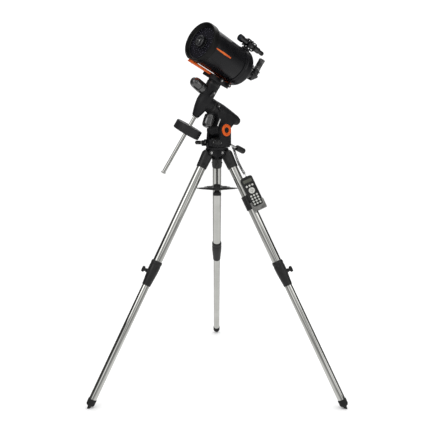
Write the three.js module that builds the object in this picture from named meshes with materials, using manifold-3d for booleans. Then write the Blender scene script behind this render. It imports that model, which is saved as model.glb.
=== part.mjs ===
// A six-inch Schmidt-Cassegrain telescope on a driven German equatorial mount and a steel tripod.
// Millimetres, +Z up. The origin is on the floor, at the centre of the rectangle round the three feet.
import * as THREE from 'three';
import { mergeVertices } from 'three/addons/utils/BufferGeometryUtils.js';
import Module from 'manifold-3d';

const wasm = await Module();
wasm.setup();

const degrees = THREE.MathUtils.degToRad;
const GAP = 0.3; // running gap between neighbouring pieces

// Facets round a circle.
const FINE = 24;
const ROUND = 16;
const SMALL = 10;

// ---------------------------------------------------------------- driving dimensions
// Tripod. Every leg leans outwards by LEG_SPLAY and its axis meets the floor on the foot circle.
const FOOT_CIRCLE = 704;
const LEG_SPLAY = degrees(28.6);
const LEG_HINGE_RADIUS = 52;
const LEG_HINGE_HEIGHT = (FOOT_CIRCLE - LEG_HINGE_RADIUS) / Math.tan(LEG_SPLAY);
const LEG_LENGTH = LEG_HINGE_HEIGHT / Math.cos(LEG_SPLAY);
const LEG_DIRECTIONS = { left: degrees(210), right: degrees(330), rear: degrees(90) };
const UPPER_TUBE_RADIUS = 22.5;
const LOWER_TUBE_RADIUS = 18.6;
const TUBE_WALL = 1.5;
const SLEEVE_BOTTOM = 86; // distances down the leg from its hinge pin
const CLAMP_TOP = 598;
const CLAMP_BOTTOM = 728;
const UPPER_TUBE_BOTTOM = 686;
const LOWER_TUBE_TOP = 611;
const FOOT_TOP = LEG_LENGTH - 46;
const HEAD_TOP = 1222;
const BRACE_HEIGHT = 1020;
const BRACE_REACH = 117.5;

// Mount. North is where the polar axis points.
const NORTH = degrees(221);
const LATITUDE = degrees(21.6);
const HOUR_ANGLE = degrees(-22);
const DECLINATION_TURN = degrees(5);
const LATITUDE_PIVOT = [-12, 0, 86]; // from the top of the tripod head
const CHEEK_INSIDE = 39;
const CHEEK_OUTSIDE = 56;
const POLAR_AXIS_RISE = 91; // polar axis above the latitude pivot
const DECLINATION_REACH = 145; // declination axis north of the latitude pivot
const BARREL_NORTH = 101;
const BARREL_SOUTH = -110;
const PEG_REACH = 62; // azimuth peg north of the tripod axis

// Counterweight.
const BAR_RADIUS = 9;
const BAR_END = 408;
const WEIGHT_RADIUS = 70;
const WEIGHT_THICKNESS = 44;
const WEIGHT_PLACE = 156;

// Optical tube, measured along its axis from the declination axis.
const TUBE_AXIS_RISE = 229.5;
const TUBE_RADIUS = 88;
const FRONT_RING_RADIUS = 95;
const FRONT_RING_FRONT = 199;
const FRONT_RING_BACK = 163;
const REAR_CELL_FRONT = -38;
const REAR_CELL_BACK = -112;
const DOVETAIL_TOP = -90.9;
const DOVETAIL_BOTTOM = -103;
const DIAGONAL_PLACE = -199;
const FINDER_RISE = 122;

// ---------------------------------------------------------------- finishes
const FINISHES = {
  blackPaint: { color: 0x1b1b1c, roughness: 0.45, metalness: 0.1 },
  blackGloss: { color: 0x101011, roughness: 0.25, metalness: 0.1 },
  blackPlastic: { color: 0x202021, roughness: 0.6, metalness: 0 },
  blackRubber: { color: 0x161616, roughness: 0.85, metalness: 0 },
  orangeMetal: { color: 0xe8501c, roughness: 0.35, metalness: 0.6 },
  polishedSteel: { color: 0xc9c9c6, roughness: 0.18, metalness: 1 },
  castIron: { color: 0x2c2c2d, roughness: 0.7, metalness: 0.3 },
  brass: { color: 0xb08a4a, roughness: 0.35, metalness: 1 },
  mirror: { color: 0xe6e8ea, roughness: 0.03, metalness: 1 },
  glass: { color: 0xdfe9ea, roughness: 0.02, metalness: 0, transparent: true, opacity: 0.3 },
  greyKeys: { color: 0xb9bbb4, roughness: 0.7, metalness: 0 },
};

// ---------------------------------------------------------------- shape helpers
function solidOf(geometry) {
  const bare = new THREE.BufferGeometry();
  bare.setAttribute('position', geometry.getAttribute('position').clone());
  if (geometry.index) bare.setIndex(geometry.index.clone());
  const merged = mergeVertices(bare, 1e-4);
  return new wasm.Manifold(new wasm.Mesh({
    numProp: 3,
    vertProperties: new Float32Array(merged.getAttribute('position').array),
    triVerts: new Uint32Array(merged.index.array),
  }));
}

function geometryOf(solid) {
  const mesh = solid.getMesh();
  const geometry = new THREE.BufferGeometry();
  geometry.setAttribute('position', new THREE.BufferAttribute(new Float32Array(mesh.vertProperties), 3));
  geometry.setIndex(new THREE.BufferAttribute(new Uint32Array(mesh.triVerts), 1));
  geometry.computeVertexNormals();
  return geometry;
}

function join(...geometries) {
  return geometryOf(geometries.map(solidOf).reduce((whole, next) => whole.add(next)));
}

function cut(geometry, ...tools) {
  return geometryOf(tools.map(solidOf).reduce((whole, next) => whole.subtract(next), solidOf(geometry)));
}

function common(geometry, other) {
  return geometryOf(solidOf(geometry).intersect(solidOf(other)));
}

// A turned solid about Z. The profile is a list of [radius, z], from its low end to its high end.
function turned(profile, sides = ROUND) {
  const points = profile.map(([radius, z]) => new THREE.Vector2(radius, z));
  const lathe = new THREE.LatheGeometry(points, sides).rotateX(Math.PI / 2);
  return geometryOf(solidOf(lathe));
}

function rod(radius, low, high, sides = ROUND) {
  return turned([[0, low], [radius, low], [radius, high], [0, high]], sides);
}

function pipe(inner, outer, low, high, sides = ROUND) {
  return turned([[inner, low], [outer, low], [outer, high], [inner, high], [inner, low]], sides);
}

function alongX(geometry) {
  return geometry.rotateY(Math.PI / 2);
}

function alongY(geometry) {
  return geometry.rotateX(-Math.PI / 2);
}

// An upright plate: an outline in X and Y, from low to high in Z.
function plate(outline, low, high) {
  const shape = outline instanceof THREE.Shape ? outline : new THREE.Shape(
    outline.map(([x, y]) => new THREE.Vector2(x, y)),
  );
  const options = { depth: high - low, bevelEnabled: false, curveSegments: 3 };
  return new THREE.ExtrudeGeometry(shape, options).translate(0, 0, low);
}

// A plate whose outline is given in X and Z and whose thickness runs from low to high in Y.
function sidePlate(outline, low, high) {
  return plate(outline, -high, -low).rotateX(Math.PI / 2);
}

function block([x0, x1], [y0, y1], [z0, z1]) {
  const box = new THREE.BoxGeometry(x1 - x0, y1 - y0, z1 - z0);
  return box.translate((x0 + x1) / 2, (y0 + y1) / 2, (z0 + z1) / 2);
}

function roundedRectangle(width, height, radius, centreX = 0, centreY = 0) {
  const shape = new THREE.Shape();
  const x = centreX + width / 2 - radius;
  const y = centreY + height / 2 - radius;
  const left = centreX - width / 2 + radius;
  const low = centreY - height / 2 + radius;
  shape.absarc(x, y, radius, 0, Math.PI / 2);
  shape.absarc(left, y, radius, Math.PI / 2, Math.PI);
  shape.absarc(left, low, radius, Math.PI, 1.5 * Math.PI);
  shape.absarc(x, low, radius, 1.5 * Math.PI, 2 * Math.PI);
  return shape;
}

// A hand knob about Z with a scalloped rim.
function scallopedKnob(radius, low, high, lobes) {
  const steps = lobes * 4;
  const outline = Array.from({ length: steps }, (_, step) => {
    const angle = (step / steps) * 2 * Math.PI;
    const reach = radius * (0.95 + 0.05 * Math.cos(lobes * angle));
    return [reach * Math.cos(angle), reach * Math.sin(angle)];
  });
  return plate(outline, low, high);
}

function place(parent, position = [0, 0, 0], rotation = [0, 0, 0], order = 'XYZ') {
  const frame = new THREE.Group();
  frame.position.set(...position);
  frame.rotation.set(...rotation, order);
  parent.add(frame);
  return frame;
}

function piece(parent, name, geometry, finish) {
  const mesh = new THREE.Mesh(geometry, new THREE.MeshStandardMaterial(FINISHES[finish]));
  mesh.name = name;
  parent.add(mesh);
  return mesh;
}

// ---------------------------------------------------------------- tripod head, tie rod and brace
function tripodHead() {
  const plateLow = HEAD_TOP - 13;
  let head = join(rod(58, plateLow, HEAD_TOP, FINE), rod(27, HEAD_TOP - 62, plateLow + 1, ROUND));
  for (const direction of Object.values(LEG_DIRECTIONS)) {
    const hinge = [LEG_HINGE_RADIUS, LEG_HINGE_HEIGHT];
    const earOutline = new THREE.Shape();
    earOutline.moveTo(20, plateLow + 2);
    earOutline.lineTo(20, LEG_HINGE_HEIGHT - 22);
    earOutline.lineTo(hinge[0] - 6, hinge[1] - 13);
    earOutline.absarc(hinge[0], hinge[1], 14, -0.65 * Math.PI, 0.2 * Math.PI, false);
    earOutline.lineTo(56, plateLow + 2);
    for (const side of [-1, 1]) {
      const inside = side > 0 ? 26.5 : -35.5;
      head = join(head, sidePlate(earOutline, inside, inside + 9).rotateZ(direction));
    }
    const pin = alongY(rod(5, -44, 44, SMALL));
    head = join(head, pin.translate(hinge[0], 0, hinge[1]).rotateZ(direction));
  }
  const peg = rod(6, HEAD_TOP - 1, HEAD_TOP + 24, SMALL).translate(PEG_REACH - 10, 0, 0);
  const pegArm = plate(roundedRectangle(34, 22, 8, PEG_REACH - 14, 0), plateLow + 4, HEAD_TOP);
  head = join(head, pegArm.rotateZ(NORTH), peg.translate(10, 0, 0).rotateZ(NORTH));
  return cut(head, rod(5.4, HEAD_TOP - 70, HEAD_TOP + 5, SMALL));
}

function braceOutline() {
  const shape = new THREE.Shape();
  const tip = 6;
  const waist = 62;
  Object.values(LEG_DIRECTIONS).sort((a, b) => a - b).forEach((direction, index) => {
    const along = (distance, across) => [
      distance * Math.cos(direction) - across * Math.sin(direction),
      distance * Math.sin(direction) + across * Math.cos(direction),
    ];
    const start = along(waist + 8, -tip - 13);
    if (index === 0) shape.moveTo(...start);
    else shape.lineTo(...start);
    shape.lineTo(...along(BRACE_REACH - 8, -tip));
    shape.lineTo(...along(BRACE_REACH - 2, -tip));
    shape.lineTo(...along(BRACE_REACH, -tip + 2));
    shape.lineTo(...along(BRACE_REACH, tip - 2));
    shape.lineTo(...along(BRACE_REACH - 2, tip));
    shape.lineTo(...along(BRACE_REACH - 8, tip));
    shape.lineTo(...along(waist + 8, tip + 13));
  });
  return shape;
}

function legBrace() {
  const low = BRACE_HEIGHT - 3;
  const high = BRACE_HEIGHT + 2;
  let brace = join(
    plate(braceOutline(), low, high),
    turned([[0, low - 14], [16, low - 14], [22, low], [22, high], [14, high + 14], [0, high + 14]], ROUND),
  );
  for (const direction of Object.values(LEG_DIRECTIONS)) {
    const rib = sidePlate([[10, low + 1], [10, low - 12], [30, low - 11], [106, low - 2], [106, low + 1]], -3, 3);
    brace = join(brace, rib.rotateZ(direction));
    const windowHole = rod(14, low - 3, high + 3, ROUND).translate(-42, 0, 0).rotateZ(direction);
    const smallHole = rod(10, low - 20, high + 3, SMALL).translate(52, 17, 0).rotateZ(direction);
    const otherHole = rod(10, low - 20, high + 3, SMALL).translate(52, -17, 0).rotateZ(direction);
    brace = cut(brace, windowHole, smallHole, otherHole);
  }
  return cut(brace, rod(5.5, low - 30, high + 30, SMALL));
}

function braceKnob() {
  const top = BRACE_HEIGHT - 17 - GAP;
  return join(
    scallopedKnob(21.5, top - 26, top - 10, 8),
    turned([[0, top - 11], [18, top - 11], [12, top], [0, top]], ROUND),
  );
}

// ---------------------------------------------------------------- one tripod leg
// The leg's own frame: origin on the hinge pin, -Z down the leg, +X outwards, Y along the pin.
function legSleeve() {
  const skin = turned([
    [0, -SLEEVE_BOTTOM], [25, -SLEEVE_BOTTOM], [29.5, -14], [29.5, -4], [22, 6], [0, 6],
  ], ROUND);
  const flats = block([-40, 40], [-26, 26], [-SLEEVE_BOTTOM - 5, 20]);
  const socket = rod(UPPER_TUBE_RADIUS + GAP, -SLEEVE_BOTTOM - 5, -18, ROUND);
  const inner = block([-60, -9], [-40, 40], [-10, 20]);
  return cut(common(skin, flats), socket, inner, alongY(rod(5.4, -40, 40, SMALL)));
}

function legClamp() {
  const skin = turned([
    [0, -CLAMP_BOTTOM], [20.9, -CLAMP_BOTTOM], [22, -CLAMP_BOTTOM + 12], [25, -CLAMP_BOTTOM + 45],
    [27.5, -CLAMP_TOP - 55], [28, -CLAMP_TOP - 8], [26, -CLAMP_TOP], [0, -CLAMP_TOP],
  ], ROUND);
  const boss = alongX(rod(10, 15, 36, SMALL)).translate(0, 0, -(CLAMP_TOP + 62));
  const upperBore = rod(UPPER_TUBE_RADIUS + GAP, -UPPER_TUBE_BOTTOM - GAP, -CLAMP_TOP + 5, ROUND);
  const lowerBore = rod(LOWER_TUBE_RADIUS + GAP, -CLAMP_BOTTOM - 5, -CLAMP_TOP + 5, ROUND);
  return cut(join(skin, boss), upperBore, lowerBore);
}

function clampKnob() {
  const start = 36 + GAP;
  const hub = alongX(rod(8, start, start + 12, SMALL));
  const wing = sidePlate(roundedRectangle(14, 30, 6, start + 15, 0), -4.5, 4.5);
  return join(hub, wing).translate(0, 0, -(CLAMP_TOP + 62));
}

function foot() {
  const rubber = turned([
    [0, -LEG_LENGTH - 12], [6.5, -LEG_LENGTH - 12], [7, -LEG_LENGTH + 4], [9, -LEG_LENGTH + 10],
    [18, -LEG_LENGTH + 15], [21, -LEG_LENGTH + 22], [21, -FOOT_TOP - 4], [20, -FOOT_TOP], [0, -FOOT_TOP],
  ], ROUND);
  const socket = rod(LOWER_TUBE_RADIUS + GAP, -FOOT_TOP - 24, -FOOT_TOP + 5, ROUND);
  const floor = block([-80, 80], [-80, 80], [-60, 0]).rotateY(LEG_SPLAY);
  return cut(rubber, socket, floor.translate(0, 0, -LEG_LENGTH));
}

function leg(tripod, side) {
  const turn = place(tripod, [0, 0, 0], [0, 0, LEG_DIRECTIONS[side]]);
  const hinge = place(turn, [LEG_HINGE_RADIUS, 0, LEG_HINGE_HEIGHT], [0, -LEG_SPLAY, 0]);
  const upper = pipe(UPPER_TUBE_RADIUS - TUBE_WALL, UPPER_TUBE_RADIUS, -UPPER_TUBE_BOTTOM, -18 - GAP);
  const lower = pipe(LOWER_TUBE_RADIUS - TUBE_WALL, LOWER_TUBE_RADIUS, -FOOT_TOP - 24 + GAP, -LOWER_TUBE_TOP);
  piece(hinge, `${side}_leg_sleeve`, legSleeve(), 'blackPlastic');
  piece(hinge, `${side}_upper_tube`, upper, 'polishedSteel');
  piece(hinge, `${side}_leg_clamp`, legClamp(), 'blackPlastic');
  piece(hinge, `${side}_clamp_knob`, clampKnob(), 'blackPlastic');
  piece(hinge, `${side}_lower_tube`, lower, 'polishedSteel');
  piece(hinge, `${side}_foot`, foot(), 'blackRubber');
  return hinge;
}

// ---------------------------------------------------------------- hand control on the right leg
// Its own frame: origin at the middle of the leg, +Z up the leg, +Y the face with the keys.
const CONTROL_LENGTH = 172;
const CONTROL_WIDTH = 62;
const CONTROL_DEPTH = 24;
const CONTROL_PLACE = [-33, 49, -127]; // middle of its face from the holder's frame

function controlBody() {
  const body = sidePlate(roundedRectangle(CONTROL_WIDTH, CONTROL_LENGTH, 9), -CONTROL_DEPTH, 0);
  const keyPocket = block([-23.5, 23.5], [-3.7, 5], [-66, 48]);
  return cut(body, keyPocket);
}

function keypad() {
  let pad = block([-22.5, 22.5], [-2.6, -0.9], [-65, 47]);
  const columns = [-15, 0, 15];
  for (const row of [38, -14, -28, -42, -56]) {
    for (const column of columns) {
      pad = join(pad, alongY(rod(4.6, -1.2, 1.6, 7)).translate(column, 0, row));
    }
  }
  const ring = alongY(pipe(7, 15, -1.2, 1.6, SMALL)).translate(0, 0, 12);
  return join(pad, ring);
}

function controlHolder(legRadius) {
  const [middle, front, height] = CONTROL_PLACE;
  const low = height - CONTROL_LENGTH / 2;
  const reach = CONTROL_WIDTH / 2;
  const grip = rod(legRadius + 6, low + 17, low + 91, ROUND);
  const legBore = rod(legRadius + 0.8, low - 20, low + 110, ROUND);
  const mouth = block([-8, 60], [-60, 8], [low - 20, low + 110]);
  const neck = block([-30, -10], [10, front - CONTROL_DEPTH], [low + 17, low + 44]);
  const cup = block(
    [middle - reach - 4, middle + reach + 4],
    [front - CONTROL_DEPTH - 4, front + 4],
    [low - 4, low + 44],
  );
  const well = block(
    [middle - reach - GAP, middle + reach + GAP],
    [front - CONTROL_DEPTH - GAP, front + GAP],
    [low - GAP, low + 100],
  );
  const face = block([middle - reach + 6, middle + reach - 6], [front - 2, front + 10], [low + 18, low + 60]);
  const slot = block([middle - 9, middle + 9], [front - CONTROL_DEPTH + 3, front - 3], [low - 10, low + 10]);
  return cut(join(grip, neck, cup), legBore, mouth, well, face, slot);
}

// ---------------------------------------------------------------- the hand control's curly cord
// It leaves the port on the azimuth base and runs in the open down beside the right leg.
const PORT_RISE = 7.5;
const PORT_REACH = 66;
const PORT_RADIUS = 6.5;
const CORD_RADIUS = 4.5; // outside its coils
const CORD_ROUTE = [ // from the tripod axis, floor level
  [68, 0, 1229.5], [72.5, 0, 1229.4], [77.5, -3, 1226], [83, -10, 1217], [88, -20, 1203], [93, -31, 1186],
  [99, -42, 1168], [105, -53, 1151], [112, -64, 1136], [119, -75, 1122], [126, -84.5, 1109.5],
  [132.5, -91.5, 1099], [138, -95.6, 1090],
];

function controlCord(end) {
  const route = new THREE.CatmullRomCurve3([...CORD_ROUTE.map((point) => new THREE.Vector3(...point)), end]);
  const section = new THREE.Shape();
  for (let side = 0; side < 8; side += 1) {
    const angle = (side / 8) * 2 * Math.PI;
    const point = [CORD_RADIUS * Math.cos(angle), CORD_RADIUS * Math.sin(angle)];
    if (side === 0) section.moveTo(...point);
    else section.lineTo(...point);
  }
  return new THREE.ExtrudeGeometry(section, { steps: 16, bevelEnabled: false, extrudePath: route });
}

// ---------------------------------------------------------------- azimuth base and its screws
// Frame: origin on the tripod axis at the top of the head, +X north.
const LUG_INSIDE = 22;
const LUG_OUTSIDE = 38;
const SCREW_HEIGHT = 25;
const HANDLE_START = [-60, 0, 27];
const HANDLE_SLOPE = degrees(-21);

function azimuthBase() {
  const [pivotX, , pivotZ] = LATITUDE_PIVOT;
  const cheek = new THREE.Shape();
  cheek.moveTo(pivotX - 35, 10);
  cheek.lineTo(pivotX + 40, 10);
  cheek.lineTo(pivotX + 34, pivotZ - 12);
  cheek.absarc(pivotX, pivotZ, 34.5, degrees(-20), degrees(180), false);
  cheek.lineTo(pivotX - 35, 10);
  let base = join(rod(56, GAP, 14, FINE), block([-50, 56], [-40, 40], [8, 42]));
  for (const low of [-CHEEK_OUTSIDE, CHEEK_INSIDE]) {
    base = join(base, sidePlate(cheek, low, low + CHEEK_OUTSIDE - CHEEK_INSIDE));
  }
  for (const low of [-LUG_OUTSIDE, LUG_INSIDE]) {
    base = join(base, block([40, PEG_REACH + 12], [low, low + LUG_OUTSIDE - LUG_INSIDE], [8, SCREW_HEIGHT + 12]));
  }
  const boss = alongX(rod(13, -12, 8, SMALL)).rotateY(HANDLE_SLOPE);
  const port = alongX(rod(PORT_RADIUS, 45, PORT_REACH, SMALL)).rotateZ(-NORTH).translate(0, 0, PORT_RISE);
  base = join(base, boss.translate(-54, 0, 29), port);
  const pegRoom = block([PEG_REACH - 14, PEG_REACH + 30], [-LUG_INSIDE, LUG_INSIDE], [-5, 60]);
  const shaftBore = alongY(rod(4.4, -80, 80, SMALL)).translate(PEG_REACH, 0, SCREW_HEIGHT);
  const handleBore = alongX(rod(5.4, -60, 60, SMALL)).rotateY(HANDLE_SLOPE);
  const pivotBore = alongY(rod(10.6, -80, 80, SMALL)).translate(pivotX, 0, pivotZ);
  return cut(
    base,
    pegRoom,
    shaftBore,
    handleBore.translate(...HANDLE_START),
    pivotBore,
    rod(12, -5, 60, SMALL),
  );
}

function azimuthKnob(side) {
  const shaft = rod(4, 16.5, 56, SMALL);
  const knob = scallopedKnob(11, 56, 90, 6);
  const knobAndShaft = alongY(join(shaft, knob));
  return side > 0 ? knobAndShaft : knobAndShaft.rotateX(Math.PI);
}

// A turned cap round the end of the latitude pivot, open in the middle.
function latitudeCap(side) {
  const ring = turned([[13, 0.3], [30, 0.3], [30, 4], [27, 6.5], [16, 6.5], [13, 4], [13, 0.3]], FINE);
  const cap = alongY(ring.translate(0, 0, CHEEK_OUTSIDE));
  return side > 0 ? cap : cap.rotateX(Math.PI);
}

function latitudeHandle() {
  const shaft = rod(5, -12, 80, SMALL);
  const grip = turned([[0, 78], [13, 78], [15.5, 83], [15.5, 135], [12, 140], [0, 140]], ROUND);
  return alongX(join(shaft, grip)).rotateY(Math.PI).rotateY(HANDLE_SLOPE);
}

// ---------------------------------------------------------------- polar (right ascension) housing
// Frame: origin on the latitude pivot, +X along the polar axis, +Z away from the pivot in the meridian.
const MOTOR_NORTH = 81;
const MOTOR_RADIUS = 28;

function polarHousing() {
  const barrel = alongX(turned([
    [0, -95], [22, -95], [25, -90], [30, -50], [34, -12], [37.5, 28], [38, 60], [37.5, BARREL_NORTH],
    [0, BARREL_NORTH],
  ], FINE)).translate(0, 0, POLAR_AXIS_RISE);
  const web = new THREE.Shape();
  web.moveTo(-35, 8);
  web.absarc(0, 0, 36, degrees(167), degrees(330), false);
  web.lineTo(47, 0);
  web.lineTo(50, 44);
  web.lineTo(66, POLAR_AXIS_RISE - 30);
  web.lineTo(60, POLAR_AXIS_RISE);
  web.lineTo(-50, POLAR_AXIS_RISE);
  web.lineTo(-62, POLAR_AXIS_RISE - 22);
  const pivot = alongY(rod(9.5, -CHEEK_OUTSIDE + 1, CHEEK_OUTSIDE - 1, SMALL));
  const motorSeat = rod(19.5, 46, POLAR_AXIS_RISE, ROUND).translate(MOTOR_NORTH, 0, 0);
  const northBore = alongX(rod(30, -20, BARREL_NORTH + 5, ROUND)).translate(0, 0, POLAR_AXIS_RISE);
  const southBore = alongX(rod(13.5, -130, 0, ROUND)).translate(0, 0, POLAR_AXIS_RISE);
  return cut(join(barrel, sidePlate(web, -36, 36), pivot, motorSeat), northBore, southBore);
}

function polarMotorCover() {
  return turned([
    [0, -18], [15, -18], [24, -13], [MOTOR_RADIUS - 0.5, -3], [MOTOR_RADIUS, 28], [MOTOR_RADIUS - 1, 46 - GAP],
    [0, 46 - GAP],
  ], ROUND).translate(MOTOR_NORTH, 0, 0);
}

function polarCap() {
  return alongX(turned([
    [0, BARREL_SOUTH], [12, BARREL_SOUTH], [18, -106], [21.5, -98], [21.5, -95 - GAP], [13, -95 - GAP],
    [13, -88], [0, -88],
  ], ROUND)).translate(0, 0, POLAR_AXIS_RISE);
}

function wormWheel() {
  const teeth = 24;
  const outline = Array.from({ length: teeth * 2 }, (_, step) => {
    const angle = (step / (teeth * 2)) * 2 * Math.PI;
    const reach = step % 2 ? 27 : 28.5;
    return [reach * Math.cos(angle), reach * Math.sin(angle)];
  });
  const wheel = cut(plate(outline, 30, 42), rod(14 + GAP, 25, 50, ROUND));
  return alongX(wheel).translate(0, 0, POLAR_AXIS_RISE);
}

function polarShaft() {
  const shaft = turned([
    [10, -12], [14, -12], [14, BARREL_NORTH - 12], [28.5, BARREL_NORTH - 12], [28.5, BARREL_NORTH + GAP],
    [36, BARREL_NORTH + GAP], [36, BARREL_NORTH + 5], [10, BARREL_NORTH + 5], [10, -12],
  ], ROUND);
  return alongX(shaft).translate(0, 0, POLAR_AXIS_RISE);
}

// A short clutch lever that turns about Y.
function clutchLever(length) {
  const outline = new THREE.Shape();
  outline.absarc(0, 0, 9, degrees(60), degrees(300), false);
  outline.lineTo(length - 5, -4);
  outline.absarc(length - 5, 0, 5, degrees(-60), degrees(60), false);
  return sidePlate(outline, 0, 9);
}

// ---------------------------------------------------------------- declination housing
// Frame: origin where the axes cross, +X along the polar axis, +Z along the declination axis.
const SADDLE_LOW = TUBE_AXIS_RISE + DOVETAIL_BOTTOM - 14;
const SADDLE_SCREW_RISE = TUBE_AXIS_RISE + DOVETAIL_BOTTOM + 4.5;
const SADDLE_KNOBS = [12, -44]; // places of the two clamp screws along the saddle
const HOUSING_TOP = SADDLE_LOW - 8;
const MOTOR_TILT = degrees(8);
const MOTOR_RISE = 47;

function declinationHousing() {
  const column = turned([
    [0, -84], [12, -84], [19, -78], [24, -62], [30, -42], [35, -14], [37, 0], [36, 24], [35, 40],
    [34, HOUSING_TOP], [0, HOUSING_TOP],
  ], FINE);
  const reach = BARREL_NORTH + 5 + GAP - DECLINATION_REACH;
  const neck = alongX(rod(36, reach, 0, FINE));
  const motorSeat = alongX(rod(MOTOR_RADIUS - 2, 20, 42, ROUND)).rotateY(-MOTOR_TILT).translate(0, 0, MOTOR_RISE);
  const bore = rod(20, -60, HOUSING_TOP + 5, ROUND);
  const barBore = rod(BAR_RADIUS + 2, -90, -50, ROUND);
  return cut(join(column, neck, motorSeat), bore, barBore);
}

function declinationMotorCover() {
  const cover = turned([
    [0, 42 + GAP], [MOTOR_RADIUS - 2, 42 + GAP], [MOTOR_RADIUS, 47], [MOTOR_RADIUS, 66], [MOTOR_RADIUS - 1.5, 68],
    [MOTOR_RADIUS - 1.5, 71], [MOTOR_RADIUS, 73], [MOTOR_RADIUS - 2, 104], [20, 116], [11, 121], [0, 121],
  ], ROUND);
  return alongX(cover).rotateY(-MOTOR_TILT).translate(0, 0, MOTOR_RISE);
}

// The saddle's frame has +X along the optical tube; its stem is the declination shaft.
function saddle() {
  const floor = TUBE_AXIS_RISE + DOVETAIL_BOTTOM - GAP;
  const tray = plate(roundedRectangle(128, 78, 6), SADDLE_LOW, floor + 10.5);
  const channel = sidePlate([[-80, floor], [80, floor], [80, floor + 20], [-80, floor + 20]], -23.5, 23.5);
  const flange = rod(34, HOUSING_TOP + GAP, SADDLE_LOW + 1, ROUND);
  const stem = rod(19, -58, SADDLE_LOW, ROUND);
  const socket = rod(BAR_RADIUS + GAP, -70, -20, ROUND);
  const screws = alongY(rod(4, 10, 60, SMALL));
  const bores = SADDLE_KNOBS.map((x) => screws.clone().translate(x, 0, SADDLE_SCREW_RISE));
  return cut(join(tray, flange, stem), channel, socket, ...bores);
}

function saddleKnob() {
  return alongY(join(rod(3.5, 23, 42, SMALL), scallopedKnob(11, 41, 60, 6)));
}

function counterweightBar() {
  return turned([
    [0, -BAR_END], [10, -BAR_END], [11.5, -BAR_END + 2], [11.5, -BAR_END + 8], [BAR_RADIUS, -BAR_END + 9],
    [BAR_RADIUS, -20 - GAP], [0, -20 - GAP],
  ], ROUND);
}

function counterweight() {
  const half = WEIGHT_THICKNESS / 2;
  const disc = turned([
    [BAR_RADIUS + GAP, -half], [WEIGHT_RADIUS - 3, -half], [WEIGHT_RADIUS, -half + 3],
    [WEIGHT_RADIUS, half - 3], [WEIGHT_RADIUS - 3, half], [BAR_RADIUS + GAP, half],
    [BAR_RADIUS + GAP, -half],
  ], FINE);
  return cut(disc, alongY(rod(4.4, -WEIGHT_RADIUS - 5, -BAR_RADIUS, SMALL)));
}

function counterweightKnob() {
  const shaft = rod(4, 12, WEIGHT_RADIUS + 3, SMALL);
  const knob = scallopedKnob(11, WEIGHT_RADIUS + GAP, WEIGHT_RADIUS + 18, 5);
  return alongY(join(shaft, knob)).rotateX(Math.PI);
}

// ---------------------------------------------------------------- optical tube
// Frame: origin on the tube's axis above the declination axis, +X forwards, +Z away from the mount.
const CORRECTOR_PLACE = 178;

// The flat that seats the dovetail bar under the front ring and under the rear cell.
function dovetailFlat(from, to) {
  return block([from, to], [-24, 24], [-130, DOVETAIL_TOP + GAP]);
}

function frontRing() {
  const ring = alongX(turned([
    [TUBE_RADIUS + GAP, FRONT_RING_BACK], [93, FRONT_RING_BACK], [FRONT_RING_RADIUS, 167],
    [FRONT_RING_RADIUS, 195], [93, FRONT_RING_FRONT], [87, FRONT_RING_FRONT], [81, CORRECTOR_PLACE + 5],
    [76, CORRECTOR_PLACE + 3], [76, CORRECTOR_PLACE + GAP + 1], [79.5, CORRECTOR_PLACE + GAP + 1],
    [79.5, CORRECTOR_PLACE - 5], [76, CORRECTOR_PLACE - 5], [76, 171], [TUBE_RADIUS + GAP, 171],
    [TUBE_RADIUS + GAP, FRONT_RING_BACK],
  ], FINE));
  return cut(ring, dovetailFlat(FRONT_RING_BACK - 5, FRONT_RING_FRONT + 5));
}

function mainTube() {
  return alongX(pipe(TUBE_RADIUS - 1.6, TUBE_RADIUS, REAR_CELL_FRONT - 14, 171 - GAP, FINE));
}

function corrector() {
  return alongX(pipe(24, 79, CORRECTOR_PLACE - 4.5, CORRECTOR_PLACE + 1, FINE));
}

function secondaryCell() {
  const groove = 24 - GAP;
  return alongX(turned([
    [0, 158], [27, 158], [27, CORRECTOR_PLACE - 4.5 - GAP], [groove, CORRECTOR_PLACE - 4.5 - GAP],
    [groove, CORRECTOR_PLACE + 1 + GAP], [27.5, CORRECTOR_PLACE + 1 + GAP], [27.5, 200], [25, 203],
    [0, 203],
  ], ROUND));
}

const FINDER_PAD_TOP = 95;

function rearCell() {
  const skin = turned([
    [20, REAR_CELL_BACK], [62, REAR_CELL_BACK], [78, -107], [91, -92], [93, -88], [93, -56], [91, -50],
    [91, REAR_CELL_FRONT], [TUBE_RADIUS + GAP, REAR_CELL_FRONT], [TUBE_RADIUS + GAP, -54],
    [84, -54], [84, -86], [60, -100], [20, -100], [18, -100], [18, 60], [16, 60], [16, REAR_CELL_BACK + 4],
    [20, REAR_CELL_BACK],
  ], FINE);
  const knobBore = alongX(rod(5.4, -130, -90, SMALL).translate(-38, 26, 0));
  const finderPad = block([-84, -50], [-14, 14], [88, FINDER_PAD_TOP]);
  return cut(join(alongX(skin), finderPad), knobBore, dovetailFlat(REAR_CELL_BACK - 5, REAR_CELL_FRONT + 5));
}

function primaryMirror() {
  return alongX(turned([
    [18 + GAP + 1, -78], [78, -78], [78, -64], [50, -68.5], [26, -71], [26, -66], [18 + GAP + 1, -66],
    [18 + GAP + 1, -78],
  ], FINE));
}

function focusKnob() {
  const knob = join(rod(5, -126, -94, SMALL), scallopedKnob(12.5, -142, REAR_CELL_BACK - 2, 8));
  return alongX(knob.translate(-38, 26, 0));
}

function visualBack() {
  return alongX(turned([
    [16.2, -152], [20, -152], [23, -148], [23, -126], [27, -124], [27, REAR_CELL_BACK - 1],
    [24, REAR_CELL_BACK - GAP], [16.2, REAR_CELL_BACK - GAP], [16.2, -152],
  ], ROUND));
}

// Frame: origin where the light turns, +X forwards, +Z towards the eyepiece.
const DIAGONAL_HALF = 19;

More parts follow.
